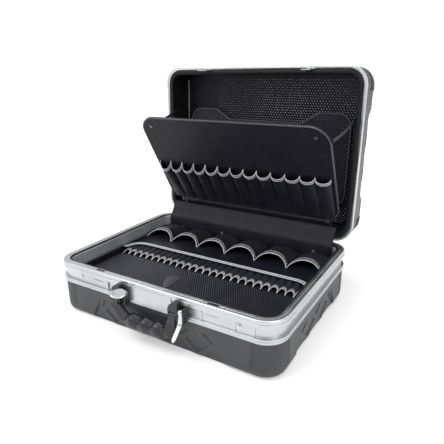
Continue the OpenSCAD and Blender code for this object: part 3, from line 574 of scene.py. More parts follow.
def grow(name, seed, tree, values):
    """Runs a node tree on a seed mesh and returns the plain mesh that it makes."""
    modifier = seed.modifiers.new("grow", "NODES")
    modifier.node_group = tree
    for item in tree.interface.items_tree:
        if item.in_out == "INPUT" and item.name in values:
            modifier[item.identifier] = values[item.name]
    bpy.context.view_layer.update()
    done = seed.evaluated_get(bpy.context.evaluated_depsgraph_get())
    mesh = bpy.data.meshes.new_from_object(done)
    seed.modifiers.remove(modifier)
    bpy.data.objects.remove(seed)
    mesh.name = name
    piece = bpy.data.objects.new(name, mesh)
    scene.collection.objects.link(piece)
    return piece

print("trees can be started, ended and run")

# %% [markdown]
# ## A nub on every point
# The rolled nubs of a board are low cones, rounded by their shading. Array modifiers could
# lay them in rows, but not stop them at a round corner. So the seed is a cloud of points,
# and the tree sets one cone on each. There are thousands, so a cone has only eight sides.

# %% Geometry Nodes: nubs on points
nub_tree, source, out = start_tree("nubs on points", [
    ("Nub radius", "NodeSocketFloat"), ("Nub height", "NodeSocketFloat"),
    ("Facing", "NodeSocketVector"), ("Material", "NodeSocketMaterial")])
top_radius = add(nub_tree, "ShaderNodeMath", {1: 0.45}, {0: source.outputs["Nub radius"]}, operation="MULTIPLY")
nub = add(nub_tree, "GeometryNodeMeshCone", {"Vertices": 8}, {
    "Radius Bottom": source.outputs["Nub radius"], "Radius Top": top_radius.outputs["Value"],
    "Depth": source.outputs["Nub height"]})
facing = add(nub_tree, "FunctionNodeAlignRotationToVector", links={"Vector": source.outputs["Facing"]}, axis="Z")
placed = add(nub_tree, "GeometryNodeInstanceOnPoints", links={
    "Points": source.outputs["Geometry"], "Instance": nub.outputs["Mesh"], "Rotation": facing.outputs["Rotation"]})
end_tree(nub_tree, placed.outputs["Instances"], source, out)

def nubs(name, points, radius, height, facing_way, material):
    return grow(name, new_piece(name + "_points", points, [], None), nub_tree,
                {"Nub radius": radius * MM, "Nub height": height * MM, "Facing": facing_way, "Material": material})

print("nub tree has", len(nub_tree.nodes), "nodes")

# %% [markdown]
# ## A bead along a line
# The lips of the bindings and the corner ribs are round beads that follow a path. A curve
# object with a bevel would do for one. The tree takes any number of lines at once: it turns
# their edges into curves, runs a small circle along them and closes their ends.

# %% Geometry Nodes: beads along lines
bead_tree, source, out = start_tree("bead along a line", [
    ("Bead radius", "NodeSocketFloat"), ("Material", "NodeSocketMaterial")])
line = add(bead_tree, "GeometryNodeMeshToCurve", links={"Mesh": source.outputs["Geometry"]})
ring = add(bead_tree, "GeometryNodeCurvePrimitiveCircle", {"Resolution": 8}, {"Radius": source.outputs["Bead radius"]})
tube = add(bead_tree, "GeometryNodeCurveToMesh", {"Fill Caps": True}, {
    "Curve": line.outputs["Curve"], "Profile Curve": ring.outputs["Curve"]})
end_tree(bead_tree, tube.outputs["Mesh"], source, out)

def bead(name, lines, radius, material):
    """Round beads through lines of points."""
    points, edges = [], []
    for line_points in lines:
        first = len(points)
        points += line_points
        edges += [(i, i + 1) for i in range(first, len(points) - 1)]
    return grow(name, new_piece(name + "_line", points, [], None, edges), bead_tree,
                {"Bead radius": radius * MM, "Material": material})

print("bead tree has", len(bead_tree.nodes), "nodes")

# %% [markdown]
# ## The nubbed boards
# The boards are polypropylene sheet with rows of round nubs, so that a small tool stands
# clear and can be picked up. The rows are offset like bricks. Places in rows are easy to
# list, and those that fall outside a board's own shape are left out of the list.

# %% Places for the nubs
FRONT_TOP = 62.1

def brick_rows(width, low, high, pitch):
    """Places in offset rows, in mm, centred across the width."""
    places, row, up = [], 0, low
    while up <= high:
        shift = pitch / 2 if row % 2 else 0
        count = int((width / 2 - shift) // pitch)
        places += [((i * pitch) + shift, up) for i in range(-count - (1 if shift else 0), count + 1)]
        up += pitch * math.sqrt(3) / 2
        row += 1
    return places

def inside_round(x, y, half_x, low, high, radius):
    """True where a point is inside a rectangle with round corners."""
    dx = abs(x) - (half_x - radius)
    dy = max(low + radius - y, y - (high - radius))
    if abs(x) > half_x or y < low or y > high:
        return False
    return dx < 0 or dy < 0 or dx * dx + dy * dy < radius * radius

def in_document_panel(x, y):
    """True inside the document panel, whose upper edge has a wide cut with leaning ends."""
    lean = (237 - y) * 1.7
    return inside_round(x, y, 189, 47, 234, 22) and not (y > 212 and abs(x) < 129 - max(0, lean))

front_places = [p for p in brick_rows(420, -150, -21, 4.6) if inside_round(*p, 208, -152, 200, 24)]
lid_places = [p for p in brick_rows(426, 6, 306, 6.1) if inside_round(*p, 208, 4, 306, 24)]
document_places = [p for p in brick_rows(388, 48, 236, 4.6) if in_document_panel(*p)]
board_places = [p for p in brick_rows(414, 126, 234, 4.8) if inside_round(*p, 202, -10, 234, 36)]
print("places:", len(front_places), len(lid_places), len(document_places), len(board_places))

# %% Nubs on the front board and inside the lid
front_nubs = nubs("front_board_nubs", [Vector((x, y, FRONT_TOP)) * MM for x, y in front_places], 1.25, 0.8,
                  (0, 0, 1), front_nub_sheet)
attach(front_nubs, "base")

lid_nubs = nubs("lid_panel_nubs", [on_lid_back(x, y, 0.2) for x, y in lid_places], 1.3, 1.1,
                LID_INWARD, lid_nub_sheet)
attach(lid_nubs, "lid")

panel_edges = bead("lid_panel_edges", [[on_lid_back(x, y, 0.9) for y in range(60, 302, 8)] for x in (-211.6, 211.6)],
                   1.1, grey_binding)
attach(panel_edges, "lid")
print("nubs:", triangles(front_nubs), triangles(lid_nubs), "panel edges:", triangles(panel_edges), "triangles")

# %% Nubs on the document panel and the tool board
document_nubs = nubs("document_panel_nubs", [on_lid_back(x, y, 12.2) for x, y in document_places], 1.2, 0.8,
                     LID_INWARD, document_nub_sheet)
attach(document_nubs, "lid")

board_nubs = nubs("tool_board_nubs", [on_tool_board(x, y, 1.6) for x, y in board_places], 1.25, 0.8,
                  BOARD_FORWARD, board_nub_sheet)
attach(board_nubs, "lid_board")
print("nubs:", triangles(document_nubs), triangles(board_nubs), "triangles")

# %% [markdown]
# ## Shapes that the pockets share
# A pocket's mouth is an arch of cloth between two seams. Real cloth is never quite even, so
# smooth noise, which is the same on every run, moves each arch a little. The rear board's
# front edge is needed twice, by the pockets that are sewn to it and by its own binding.

# %% Arches, the step between the boards, and unevenness
STEP_Y, STEP_HALF, STEP_ROUND = 24.0, 175, 30

def loop_across(centre, half, height, steps, power=0.85):
    """An arch from one foot to the other: places across and heights, in mm."""
    arch = []
    for i in range(steps + 1):
        angle = math.pi * i / steps
        arch.append((centre - half * math.cos(angle), height * math.sin(angle) ** power))
    return arch

def step_edge(x, inset=0):
    """Where the raised board's edge is: it turns forward at both ends."""
    over = abs(x) - STEP_HALF
    radius = STEP_ROUND + inset
    if over < 0:
        return STEP_Y + inset
    return STEP_Y - STEP_ROUND + math.sqrt(max(0, radius * radius - over * over))

def ripple(point, size, depth):
    """A small smooth unevenness, the same on every run."""
    return noise.noise(Vector(point) / size) * depth

print("the step is at", step_edge(0), "mm and its ends at", round(step_edge(200), 1), "mm")

# %% [markdown]
# ## The small pockets
# A row of 26 loops of leathercloth is stitched to the front board between the loops. Each
# mouth is cut back at a slant. The cloth could be draped by simulation, but these loops are
# held on all sides, so their shape is a rule: rows of arches from the mouth to the step.

# %% Small pockets
SMALL_COUNT, SMALL_PITCH, SMALL_HEIGHT = 26, 410 / 26, 7.4
SMALL_Y, SMALL_LEAN, SMALL_FOOT = -18.0, math.tan(math.radians(34)), 62.2

small_line = []
for i in range(SMALL_COUNT):
    centre = (i - (SMALL_COUNT - 1) / 2) * SMALL_PITCH
    tilt = 0.6 * noise.noise(Vector((i * 1.7, 0.3, 0)))
    for x, q in loop_across(centre, SMALL_PITCH / 2 - 0.25, SMALL_HEIGHT * (1 + 0.05 * tilt), 14):
        small_line.append((x + tilt * q * 0.12, q))
small_rows = []
for step in range(7):
    t = step / 6
    row = []
    for x, q in small_line:
        mouth = SMALL_Y + q / SMALL_LEAN + 1.0
        y = mouth + (step_edge(x) - 0.4 - mouth) * t
        z = SMALL_FOOT + q * (1 - 0.06 * math.sin(math.pi * t)) + ripple((x, y, q), 6, 0.25)
        row.append(Vector((x, y, max(z, SMALL_FOOT))) * MM)
    small_rows.append(row)
small_cloth = thick_sheet("small_pocket_cloth", small_rows, -0.9, pocket_cloth)
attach(small_cloth, "base")
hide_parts("small_pockets")
print("small pockets:", SMALL_COUNT, "loops,", triangles(small_cloth), "triangles")

# %% [markdown]
# ## Bindings on the mouths
# The binding is a PVC channel folded over the cut edge and stitched. From a distance it
# reads as two pale lips with a darker band between them, so it is made as that: a thin
# sheet on the cloth, and a round bead along each of its edges. The band is the same grey
# PVC painted darker, as painted shade on its face.

# %% Bind a mouth, first the small pockets'
SMALL_BAND = 4.2

def channel_binding(name, line, place, wide, radius, body, node):
    """A binding folded over a mouth: a band on the cloth with a bead along both its edges."""
    steps = [wide * k / 4 for k in range(5)]
    band = thick_sheet(name + "_band", [[place(x, q, s) for x, q in line] for s in steps], -0.7, shaded_band_pvc)
    edges = bead(name, [[place(x, q, s) for x, q in line] for s in (0.0, wide)], radius, grey_binding)
    for piece in (band, edges):
        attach(piece, body)
    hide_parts(node)
    print(name, triangles(band) + triangles(edges), "triangles")
    return [band, edges]

def small_mouth(x, q, along):
    return Vector((x, SMALL_Y + q / SMALL_LEAN + along * 0.9 - 1,
                   62.9 + q * (0.74 + 0.26 * along / SMALL_BAND))) * MM

small_hems = channel_binding("small_pocket_binding", small_line, small_mouth, SMALL_BAND, 0.66,
                             "base", "small_pocket_piping")
sewn_cloth(small_cloth, small_rows)

# %% [markdown]
# ## The divider leaf
# A thin leaf of the same sheet lies on the front board and can be stood up between tools.
# It is painted much paler than the sheet, as painted light on its raised face. It is a leaf
# shape that curls up along one side, so its rows run from the flat side to the raised one,
# and each row is widest in its middle.

# %% Divider leaf on the front board
LEAF_X, LEAF_FRONT, LEAF_LENGTH, LEAF_WIDTH, LEAF_CURL = -24.0, -108.6, 55.6, 15.5, 8.0

leaf_rows = []
for k in range(9):
    s = k / 8
    row = []
    for i in range(29):
        u = i / 28
        wide = max(math.sin(math.pi * u), 0.02) ** 0.75
        x = LEAF_X + 2.0 * wide - LEAF_WIDTH * wide * s
        y = LEAF_FRONT + LEAF_LENGTH * u + 2.0 * wide * s
        row.append(Vector((x, y, 62.9 + LEAF_CURL * wide * math.sin(s * math.pi * 0.5))) * MM)
    leaf_rows.append(row)
leaf = thick_sheet("divider_leaf", leaf_rows, 1.2, lit_leaf_sheet)
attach(leaf, "base")
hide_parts("divider_tab")
print("divider leaf", triangles(leaf), "triangles")

# %% [markdown]
# ## The large pockets
# Six wide arches stand on the rear board. They are slack cloth, so the arches differ a
# little, and they fall and narrow towards the back, where they are sewn down. They follow
# the same kind of rule as the small ones, with more slack and longer ripples.

# %% Large pockets
BIG_COUNT, BIG_PITCH, BIG_HEIGHT = 6, 418 / 6, 19.0
BIG_Y, BIG_LEAN, BIG_LENGTH, BIG_FOOT = 67.0, math.tan(math.radians(48)), 74.0, 72.3

big_line = []
for i in range(BIG_COUNT):
    centre = (i - (BIG_COUNT - 1) / 2) * BIG_PITCH
    skew = 3.2 * noise.noise(Vector((i * 2.3, 1.1, 0)))
    for k in range(25):
        s = k / 24
        x = centre + (s - 0.5) * (BIG_PITCH - 0.8) + skew * math.sin(math.pi * s)
        q = BIG_HEIGHT * (1 - abs(2 * s - 1) ** 2.3) ** 0.8
        big_line.append((x, q))
big_rows = []
for step in range(15):
    t = step / 14
    fall = 1 - 0.5 * t - 0.5 * max(0, (t - 0.82) / 0.18) ** 2
    row = []
    for x, q in big_line:
        y = BIG_Y + q / BIG_LEAN + 1.0 + BIG_LENGTH * t * (1 - 0.12 * q / BIG_HEIGHT)
        slack = ripple((x, y, 0), 22, 1.3) * min(1, q / 8) * min(1, 4 * t)
        row.append(Vector((x, y, max(BIG_FOOT + (q + slack) * fall, BIG_FOOT))) * MM)
    big_rows.append(row)
large_cloth = thick_sheet("large_pocket_cloth", big_rows, -1.1, pocket_cloth)
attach(large_cloth, "base")
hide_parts("large_pockets")
print("large pockets:", BIG_COUNT, "arches,", triangles(large_cloth), "triangles")

# %% Binding on the large pockets
BIG_BAND = 5.4

def big_mouth(x, q, along):
    return Vector((x, BIG_Y + q / BIG_LEAN + along - 1, 73.1 + q * (0.84 + 0.15 * along / BIG_BAND))) * MM

large_hems = channel_binding("large_pocket_binding", big_line, big_mouth, BIG_BAND, 0.8,
                             "base", "large_pocket_piping")
sewn_cloth(large_cloth, big_rows)

# %% [markdown]
# ## The rear board's edge
# The raised board ends in the same binding, laid flat. It follows the step and turns
# forward at both ends. Both lips come from the one rule for that edge, at two distances.

# %% Binding along the rear board's edge
EDGE_HALF, EDGE_END_Y, EDGE_Z = 205, -7.5, 73.0

edge_lines = []
for inset in (0.6, 6.8):
    reach = EDGE_HALF + inset
    line_points = [Vector((-reach, EDGE_END_Y, EDGE_Z)) * MM]
    for i in range(61):
        x = (-EDGE_HALF + 2 * EDGE_HALF * i / 60) * reach / EDGE_HALF
        line_points.append(Vector((x, step_edge(x, inset), EDGE_Z)) * MM)
    edge_lines.append(line_points + [Vector((reach, EDGE_END_Y, EDGE_Z)) * MM])
flat_rows = [[a.lerp(b, k / 3) for a, b in zip(*edge_lines)] for k in range(4)]
rear_band = thick_sheet("rear_board_binding_band", flat_rows, 0.6, shaded_band_pvc)
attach(rear_band, "base")
rear_binding = bead("rear_board_binding", edge_lines, 1.1, grey_binding)
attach(rear_binding, "base")
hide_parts("rear_board_piping")
print("rear board binding:", triangles(rear_binding), "triangles")

# %% [markdown]
# ## The tool pockets
# Thirteen pockets hang on the tool board. Each is widest at its mouth and is pressed into
# flat pleats at its foot. They are written on the flat board, where across, up and out are
# plain numbers, and one function sets them on the leaning one.

# %% Tool pockets
TOOL_COUNT, TOOL_PITCH, TOOL_OPEN, TOOL_FOOT = 13, 398 / 13, 121.0, 12

def tool_sag(x):
    """How far a mouth hangs for each millimetre that it stands out: more at the left."""
    return 0.68 - x * 0.0016

tool_line = []
for i in range(TOOL_COUNT):
    centre = (i - (TOOL_COUNT - 1) / 2) * TOOL_PITCH
    deep = (15.0 - 5.0 * i / (TOOL_COUNT - 1)) * (1 + 0.09 * noise.noise(Vector((i * 1.9, 4.2, 0))))
    tool_line += loop_across(centre, TOOL_PITCH / 2 - 0.35, deep, 18, 0.9)
tool_rows = []
for step in range(17):
    t = step / 16
    pleat = (1 - t) ** 1.15 * 0.84 + 0.16
    row = []
    for x, q in tool_line:
        up = TOOL_OPEN - 1.2 - tool_sag(x) * q * (1 - t) - (TOOL_OPEN - TOOL_FOOT) * t
        out = 1.6 + q * pleat + ripple((x, up, 3), 14, 0.7) * min(1, q / 5)
        row.append(on_tool_board(x, up, max(out, 1.6)))
    tool_rows.append(row)
tool_cloth = thick_sheet("tool_pocket_cloth", tool_rows, -1.0, pocket_cloth)
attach(tool_cloth, "lid_board")
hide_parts("tool_pockets")
print("tool pockets:", TOOL_COUNT, "pockets,", triangles(tool_cloth), "triangles")

# %% Binding on the tool pockets
def tool_mouth(x, q, along):
    return on_tool_board(x, TOOL_OPEN - tool_sag(x) * q - along, 2.5 + q * (1 - 0.007 * along))

tool_hems = channel_binding("tool_pocket_binding", tool_line, tool_mouth, 5.2, 0.72,
                            "lid_board", "tool_pocket_piping")
sewn_cloth(tool_cloth, tool_rows)

# %% [markdown]
# ## The spine sheet
# A wide sheet of leathercloth hides the gap between base and lid. It is sewn to the boards
# below and to the lid above. Its side view is a line through six points, smoothed and cut
# into even steps, and it ripples a little where nothing holds it.

# %% Even steps along a smooth line
def along(points, steps):
    """Points at even distances along a line through the given ones, rounded at its bends."""
    fine = []
    for a, b in zip(points, points[1:]):
        fine += [a.lerp(b, i / 8) for i in range(8)]
    fine.append(points[-1])
    for _ in range(6):
        fine = [fine[0]] + [(p + q * 2 + r) / 4 for p, q, r in zip(fine, fine[1:], fine[2:])] + [fine[-1]]
    length = [0]
    for a, b in zip(fine, fine[1:]):
        length.append(length[-1] + (b - a).length)
    out = []
    for i in range(steps + 1):
        want = length[-1] * i / steps
        k = max(j for j in range(len(length)) if length[j] <= want + 1e-9)
        k = min(k, len(fine) - 2)
        out.append(fine[k].lerp(fine[k + 1], (want - length[k]) / max(length[k + 1] - length[k], 1e-9)))
    return out, length[-1]

SPINE_WIDTH, SPINE_STEPS = 402, 26
spine_path = [Vector(p) for p in ((0, 149.6, 72.4), (0, 149.6, 85), (0, 151.4, 101), (0, 159.6, 110),
                                  (0, 165.6, 122), (0, 173.0, 133.5))]
profile, spine_length = along(spine_path, SPINE_STEPS)
print("spine sheet", SPINE_WIDTH, "x", round(spine_length, 1), "mm")

# %% Spine sheet
spine_rows = []
for k, p in enumerate(profile):
    t = k / SPINE_STEPS
    swell = math.sin(math.pi * t)
    row = []
    for i in range(81):
        x = -SPINE_WIDTH / 2 + SPINE_WIDTH * i / 80
        wave = 1.2 * noise.noise(Vector((x / 46, t * 1.4, 0.5))) + 0.5 * noise.noise(Vector((x / 17, t * 3, 4)))
        row.append(Vector((x, p.y - 1.0 * swell + wave * swell, p.z + 0.4 * wave * swell)) * MM)
    spine_rows.append(row)
spine = thick_sheet("spine_cloth", spine_rows, -1.1, spine_cloth)
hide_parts("spine_sheet")
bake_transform(spine)
print("spine", triangles(spine), "triangles")

# %% [markdown]
# ## The straps
# Two narrow straps keep the tool board from falling forward. Each is a flat strip from the
# board to the lid that sags by 5 mm in its middle.
# Its ends are read from the box of its solid.

# %% Straps of the tool board
STRAP_WIDTH, STRAP_SAG = 6.4, 5.0

for side, name in ((-1, "left"), (1, "right")):
    low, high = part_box("board_strap_" + name)
    low, high = Vector(low) / MM, Vector(high) / MM
    near = Vector((208.4 * side, low.y + 4, low.z + 5))
    far = Vector((211.4 * side, high.y - 4, high.z - 5))
    path = [near.lerp(far, i / 12) - Vector((0, 0, STRAP_SAG * math.sin(math.pi * i / 12))) for i in range(13)]
    half = Vector((0, far.z - near.z, near.y - far.y)).normalized() * STRAP_WIDTH / 2
    strap_rows = [[(p + half * k) * MM for k in (-1, -1 / 3, 1 / 3, 1)] for p in path]
    webbing = thick_sheet("strap_" + name, strap_rows, 1.0, pocket_cloth)
    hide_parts("board_strap_" + name)
    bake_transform(webbing)

# %% [markdown]
# ## The frame's inner wall
# Above the boards the inner face of the frame is bare, matt aluminium. The solid is one
# body with one finish, so the wall is a sheet half a millimetre thick on that face, made
# from the same rounded rectangle as the rim.

# %% The rim's line and the inner wall
RIM_HALF_X, RIM_HALF_Y, RIM_RADIUS = 230.0, 172.5, 38.0
CORNERS = ((-1, 1, 90), (-1, -1, 180), (1, -1, 270), (1, 1, 0))

def rim_line(inset, z, steps=10):
    """Points round the case in mm, inside its outline by inset, from the back left to the back right."""
    hx, hy, r = RIM_HALF_X - inset, RIM_HALF_Y - inset, RIM_RADIUS - inset
    line = []
    for cx, cy, start in CORNERS:
        for i in range(steps + 1):
            a = math.radians(start + 90 * i / steps)
            line.append(Vector((cx * (hx - r) + r * math.cos(a), cy * (hy - r) + r * math.sin(a), z)))
    return line

wall_rows = [[p * MM for p in rim_line(17.0, z)] for z in (73.2, 80, 88, 96, 99.6)]
inner_wall = thick_sheet("frame_inner_wall", wall_rows, -0.5, wall_aluminium)
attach(inner_wall, "base")
print("inner wall", triangles(inner_wall), "triangles")

# %% [markdown]
# ## The grip
# The grip is soft rubber with three knobs, which face up and forward, for the fingers. It
# could be sculpted. As its shape follows a rule, it is a row of rings instead: each ring
# shrinks between the knobs, but only on the side where the fingers lie.

# %% Rings to a closed mesh, and the grip
def swept(name, rings, material):
    """A closed mesh through rings of points, with its ends closed by fans."""
    count = len(rings[0])
    points = [p for ring in rings for p in ring]
    faces = []
    for r in range(len(rings) - 1):
        for i in range(count):
            j = (i + 1) % count
            faces.append([r * count + i, r * count + j, (r + 1) * count + j, (r + 1) * count + i])
    for r in (0, len(rings) - 1):
        middle = len(points)
        points.append(sum((Vector(p) for p in rings[r]), Vector()) / count)
        for i in range(count):
            faces.append([r * count + i, r * count + (i + 1) % count, middle])
    return new_piece(name, points, faces, material)

GRIP_Y, GRIP_Z, GRIP_HALF = -186.5, 39.5, 38.8
GRIP_DEEP, GRIP_TALL, FINGERS_AT = 12.6, 13.6, math.radians(128)

rings = []
for step in range(97):
    u = step / 96
    end = min(1, 0.80 + 0.20 * math.sqrt(min(1, min(u, 1 - u) / 0.035)))
    knob = (0.5 - 0.5 * math.cos(6 * math.pi * u)) ** 0.6
    ring = []
    for i in range(40):
        a = 2 * math.pi * i / 40
        facing = max(0.0, math.cos(a - FINGERS_AT))
        size = end * (1 - 0.42 * (1 - knob) * facing ** 0.8)
        ring.append(Vector((-GRIP_HALF + 2 * GRIP_HALF * u, GRIP_Y + GRIP_DEEP * math.cos(a) * size,
                            GRIP_Z + GRIP_TALL * math.sin(a) * size)) * MM)
    rings.append(ring)
grip = swept("handle_grip_rubber", rings, grip_rubber)
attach(grip, "handle")
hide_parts("handle_grip")
print("grip", triangles(grip), "triangles")

# %% [markdown]
# ## The levers
# Both levers are cast. The left one ends in a wide dished thumb pad, and the right one in a
# narrow blade that flares out from the case. They are made by one function that walks away
# from the pin. At each step it turns, and draws a ring of the width, thickness and dish
# that the casting has there.

# %% A cast lever from its steps
def lever_blade(name, pivot, steps, yaw=0):
    """Each step gives its length, slope in degrees, half width, half thickness, dish and roll."""
    centre = Vector(pivot)
    rings, before = [], steps[0][0]
    for length, slope, half_w, half_t, dish, roll in steps:
        forward = Vector((0, -math.cos(math.radians(slope)), math.sin(math.radians(slope))))
        if length > 6:
            forward = Matrix.Rotation(math.radians(yaw), 3, "Z") @ forward
        centre = centre + forward * (length - before)
        before = length
        side = Vector((0, 0, 1)).cross(forward).normalized()
        turn = Matrix.Rotation(math.radians(roll), 3, forward)
        side, up = turn @ side, turn @ forward.cross(side)
        ring = []
        for i in range(28):
            a = 2 * math.pi * i / 28
            c, s = math.cos(a), math.sin(a)
            across = half_w * math.copysign(abs(c) ** 0.72, c)
            rise = half_t * math.copysign(abs(s) ** 0.72, s)
            sunk = dish * (1 - min(1, abs(across) / max(half_w * 0.8, 0.1)) ** 2) if s > 0 else 0
            ring.append((centre + side * across + up * (rise - sunk)) * MM)
        rings.append(ring)
    return swept(name, rings, lever_chrome)

def pad_steps(start, length, slope, root_w, pad_w, half_t, dish, roll):
    """An oval pad at the end of a root, as steps of a lever blade."""
    steps = []
    for i in range(21):
        t = i / 20
        oval = math.sqrt(max(0, 1 - (2 * max(t, 0.5) - 1) ** 2.4)) if t > 0.5 else 1
        grow_in = min(1, t / 0.42)
        grow_in = grow_in * grow_in * (3 - 2 * grow_in)
        width = (root_w + (pad_w - root_w) * grow_in) * max(oval, 0.12)
        thick = half_t * (0.45 + 0.55 * min(1, oval * 1.6))
        steps.append((start + length * t, slope(t), width, thick, dish * grow_in * oval, roll * grow_in))
    return steps

print("a pad has", len(pad_steps(0, 1, lambda t: 0, 1, 1, 1, 0, 0)), "steps")

# %% Left lever with its thumb pad, right lever with its blade
LEVER_Y, LEVER_Z = -180.5, 81

left_steps = [(-4.2, 50, 3.4, 1.6, 0, 0), (-3.4, 50, 4.3, 3.0, 0, 0), (0, 50, 4.4, 4.2, 0, 0), (4, 50, 4.4, 2.6, 0, 0),
              (9, 50, 4.5, 2.0, 0, 0), (16.5, 50, 4.8, 1.9, 0, 0), (19, 36, 5.4, 1.8, 0, 0)]
left_steps += pad_steps(21, 29.5, lambda t: 14 - 23 * t, 6.2, 14.6, 2.0, 2.0, -6)
left_lever = lever_blade("latch_lever_left_cast", (-52, LEVER_Y + 2.7, LEVER_Z - 3.2), left_steps, yaw=34)
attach(left_lever, "latch_left")
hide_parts("latch_lever_left")

right_steps = [(-4.2, -84, 3.4, 1.6, 0, 0), (-3.4, -84, 4.3, 3.0, 0, 0), (0, -84, 4.5, 4.2, 0, 0),
               (4, -84, 4.5, 3.0, 0, 0), (8, -84, 4.4, 2.2, 0, 0), (15, -82, 4.3, 2.0, 0, 0),
               (19, -74, 4.3, 2.0, 0, 0), (22, -62, 4.4, 1.9, 0.2, 0)]
right_steps += pad_steps(24, 26, lambda t: -48 + 8 * t, 4.4, 3.8, 1.7, 0.3, 0)
right_lever = lever_blade("latch_lever_right_cast", (68, LEVER_Y, LEVER_Z + 4.2), right_steps)
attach(right_lever, "latch_right")
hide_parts("latch_lever_right")
print("levers", triangles(left_lever), triangles(right_lever), "triangles")

# %% [markdown]
# ## The corner ribs
# The corner blocks of both shells are moulded with fine level ribs. They could be a bump,
# but a bump doesn't show at the outline or in the exported mesh. They are thin beads, half
# sunk in the shell, so a low round ridge of each shows. They run 8 mm past the bend.

# %% Fine ribs round the corner blocks
def corner_ribs(name, place, body):
    """Level ribs that run round each corner of a shell, on its outer face."""
    lines = []
    for k in range(17):
        z = 15.0 + 2.7 * k
        for cx, cy, start in CORNERS:
            arc = []
            for i in range(15):
                a = math.radians(start + 90 * i / 14)
                arc.append(Vector((cx * 192 + 36.05 * math.cos(a), cy * 134.5 + 36.05 * math.sin(a), z)))
            first, last = arc[0], arc[-1]
            out_first, out_last = (first - arc[1]).normalized() * 8, (last - arc[-2]).normalized() * 8
            lines.append([place(first + out_first)] + [place(p) for p in arc] + [place(last + out_last)])
    ribs = bead(name, lines, 0.2, shell_abs)
    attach(ribs, body)
    print(name, triangles(ribs), "triangles")

LID_RIB_TOP = 178.4
corner_ribs("base_corner_ribs", lambda p: p * MM, "base")
corner_ribs("lid_corner_ribs", lambda p: on_lid((p.x, p.y, LID_RIB_TOP - p.z)), "lid")

# %% [markdown]
# ## The lid's rim
# The lid has a slim aluminium rim. The moulded shell runs up to it, and a flat rubber seal
# covers the inner half of its face. All three are one section each, run round the same
# line. Sections are written for the closed lid and are then turned with it.

# %% Slim rim, shell collar and seal of the lid
def rim_solid(name, section, material):
    """A closed section of inset and height, run round the rim of the lid."""
    rings = [[on_lid(p) for p in rim_line(inset, z, steps=12)] for inset, z in section]
    count, around = len(rings), len(rings[0])
    faces = []
    for r in range(count):
        for i in range(around):
            j, q = (i + 1) % around, (r + 1) % count
            faces.append([r * around + i, r * around + j, q * around + j, q * around + i])
    return new_piece(name, [p for ring in rings for p in ring], faces, material)

slim = [(7.0, 102.45), (2.2, 102.45), (0.9, 102.7), (0.2, 103.4), (0.0, 104.6), (0.2, 105.9), (0.9, 106.6),
        (7.0, 106.6)]
collar = [(1.0, 106.7), (3.6, 106.7), (3.6, 127.2), (1.0, 127.2), (0.8, 126.6), (0.8, 107.3)]
flat_seal = [(7.1, 102.3), (16.4, 102.3), (16.4, 104.0), (7.1, 104.0)]
lid_rim = rim_solid("lid_rim_slim", slim, lid_aluminium)
lid_collar = rim_solid("lid_shell_collar", collar, shell_abs)
rim_seal = rim_solid("lid_rim_seal", flat_seal, seal_rubber)
for piece, slot_name in ((lid_rim, "aluminium_frame"), (lid_collar, "abs_shell"), (rim_seal, "seal_rubber")):
    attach(piece, "lid")
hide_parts("lid_frame")
print("lid rim", triangles(lid_rim), "collar", triangles(lid_collar), "seal", triangles(rim_seal), "triangles")

# %% [markdown]
# ## The studio floor
# The case stands on a pale floor that fades to white. More light would do that too, but it
# would bleach the case. Instead the floor glows only for camera and mirror rays, and less
# close to the case, so no extra light falls on it and its shadow stays.

# %% Floor
def either(tree, first, second):
    """1 where one of two masks is 1."""
    return add(tree, "ShaderNodeMath", links={0: first, 1: second}, operation="MAXIMUM").outputs["Value"]

floor_mesh = bpy.data.meshes.new("floor")
floor_mesh.from_pydata([(-9, -9, 0), (9, -9, 0), (9, 9, 0), (-9, 9, 0)], [], [(0, 1, 2, 3)])
floor = bpy.data.objects.new("floor", floor_mesh)
scene.collection.objects.link(floor)
floor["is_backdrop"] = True
floor_paint, tree, bsdf = start_material("pale studio floor", "#f1f1f1", roughness=0.9)
floor_mesh.materials.append(floor_paint)
rays = add(tree, "ShaderNodeLightPath")
seen = either(tree, rays.outputs["Is Camera Ray"], rays.outputs["Is Glossy Ray"])
away = add(tree, "ShaderNodeVectorMath", links={0: object_place(tree)}, operation="LENGTH").outputs["Value"]
near_far = spread(tree, away, 0.42, 0.95, 0.36, 1.0)
shown = add(tree, "ShaderNodeMath", links={0: seen, 1: near_far}, operation="MULTIPLY").outputs["Value"]
glow = add(tree, "ShaderNodeEmission", {"Color": linear("#ffffff")}, {"Strength": shown})
floor_look = add(tree, "ShaderNodeAddShader", links={0: bsdf.outputs["BSDF"], 1: glow.outputs["Emission"]})
tree.links.new(floor_look.outputs["Shader"], tree.nodes["Material Output"].inputs["Surface"])
print("floor", floor_mesh.polygons[0].area, "square metres")

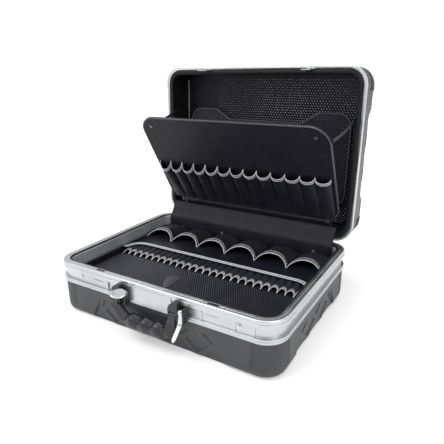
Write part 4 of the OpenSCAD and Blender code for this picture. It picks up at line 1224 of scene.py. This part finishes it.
# %% [markdown]
# ## The world
# The world lights the case softly at a plain level. To the camera, and through or off clear
# and glossy surfaces, it is white above, and metal also sees it darker towards the ground,
# as it would in a real room.

# %% World
world = bpy.data.worlds.new("studio")
scene.world = world
world.use_nodes = True
tree = world.node_tree
rays = add(tree, "ShaderNodeLightPath")
seen = either(tree, rays.outputs["Is Camera Ray"], rays.outputs["Is Glossy Ray"])
seen = either(tree, seen, rays.outputs["Is Transmission Ray"])
light = spread(tree, seen, 0, 1, 0.45, 1.0)
up = add(tree, "ShaderNodeSeparateXYZ", links={"Vector": add(tree, "ShaderNodeTexCoord").outputs["Generated"]})
room = spread(tree, up.outputs["Z"], -0.1, 0.5, 0.5, 1.0)
mirrored = add(tree, "ShaderNodeMix", {"A": 1.0}, {"Factor": rays.outputs["Is Glossy Ray"], "B": room},
               data_type="FLOAT").outputs[0]
light = add(tree, "ShaderNodeMath", links={0: light, 1: mirrored}, operation="MULTIPLY").outputs["Value"]
tree.links.new(light, tree.nodes["Background"].inputs["Strength"])
tree.nodes["Background"].inputs["Color"].default_value = linear("#ffffff")
print("world", world.name)

# %% [markdown]
# ## The lamps
# Three softboxes, as in a product studio: a key from the front left, a weaker fill from
# the right and one above. Large area lamps give the wide, soft reflections that make
# aluminium look like metal.

# %% Softboxes
def softbox(name, place, aim, size, power):
    data = bpy.data.lights.new(name, "AREA")
    data.shape = "RECTANGLE"
    data.size, data.size_y = size
    data.energy = power
    lamp = bpy.data.objects.new(name, data)
    scene.collection.objects.link(lamp)
    lamp.location = place
    lamp.rotation_euler = (Vector(aim) - Vector(place)).to_track_quat("-Z", "Y").to_euler()
    print(name, power, "watts")

softbox("key softbox", (-0.9, -1.1, 1.9), (0, 0, 0.15), (1.2, 1.2), 26)
softbox("fill softbox", (1.9, -0.7, 1.1), (0, 0, 0.2), (1.0, 1.4), 11)
softbox("top softbox", (0.2, 0.5, 2.1), (0, 0, 0.1), (1.4, 1.0), 14)

# %% [markdown]
# ## Sizes and the end
# The box of every shown piece is measured, leaving out the floor.

# %% Sizes and the end
low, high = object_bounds()
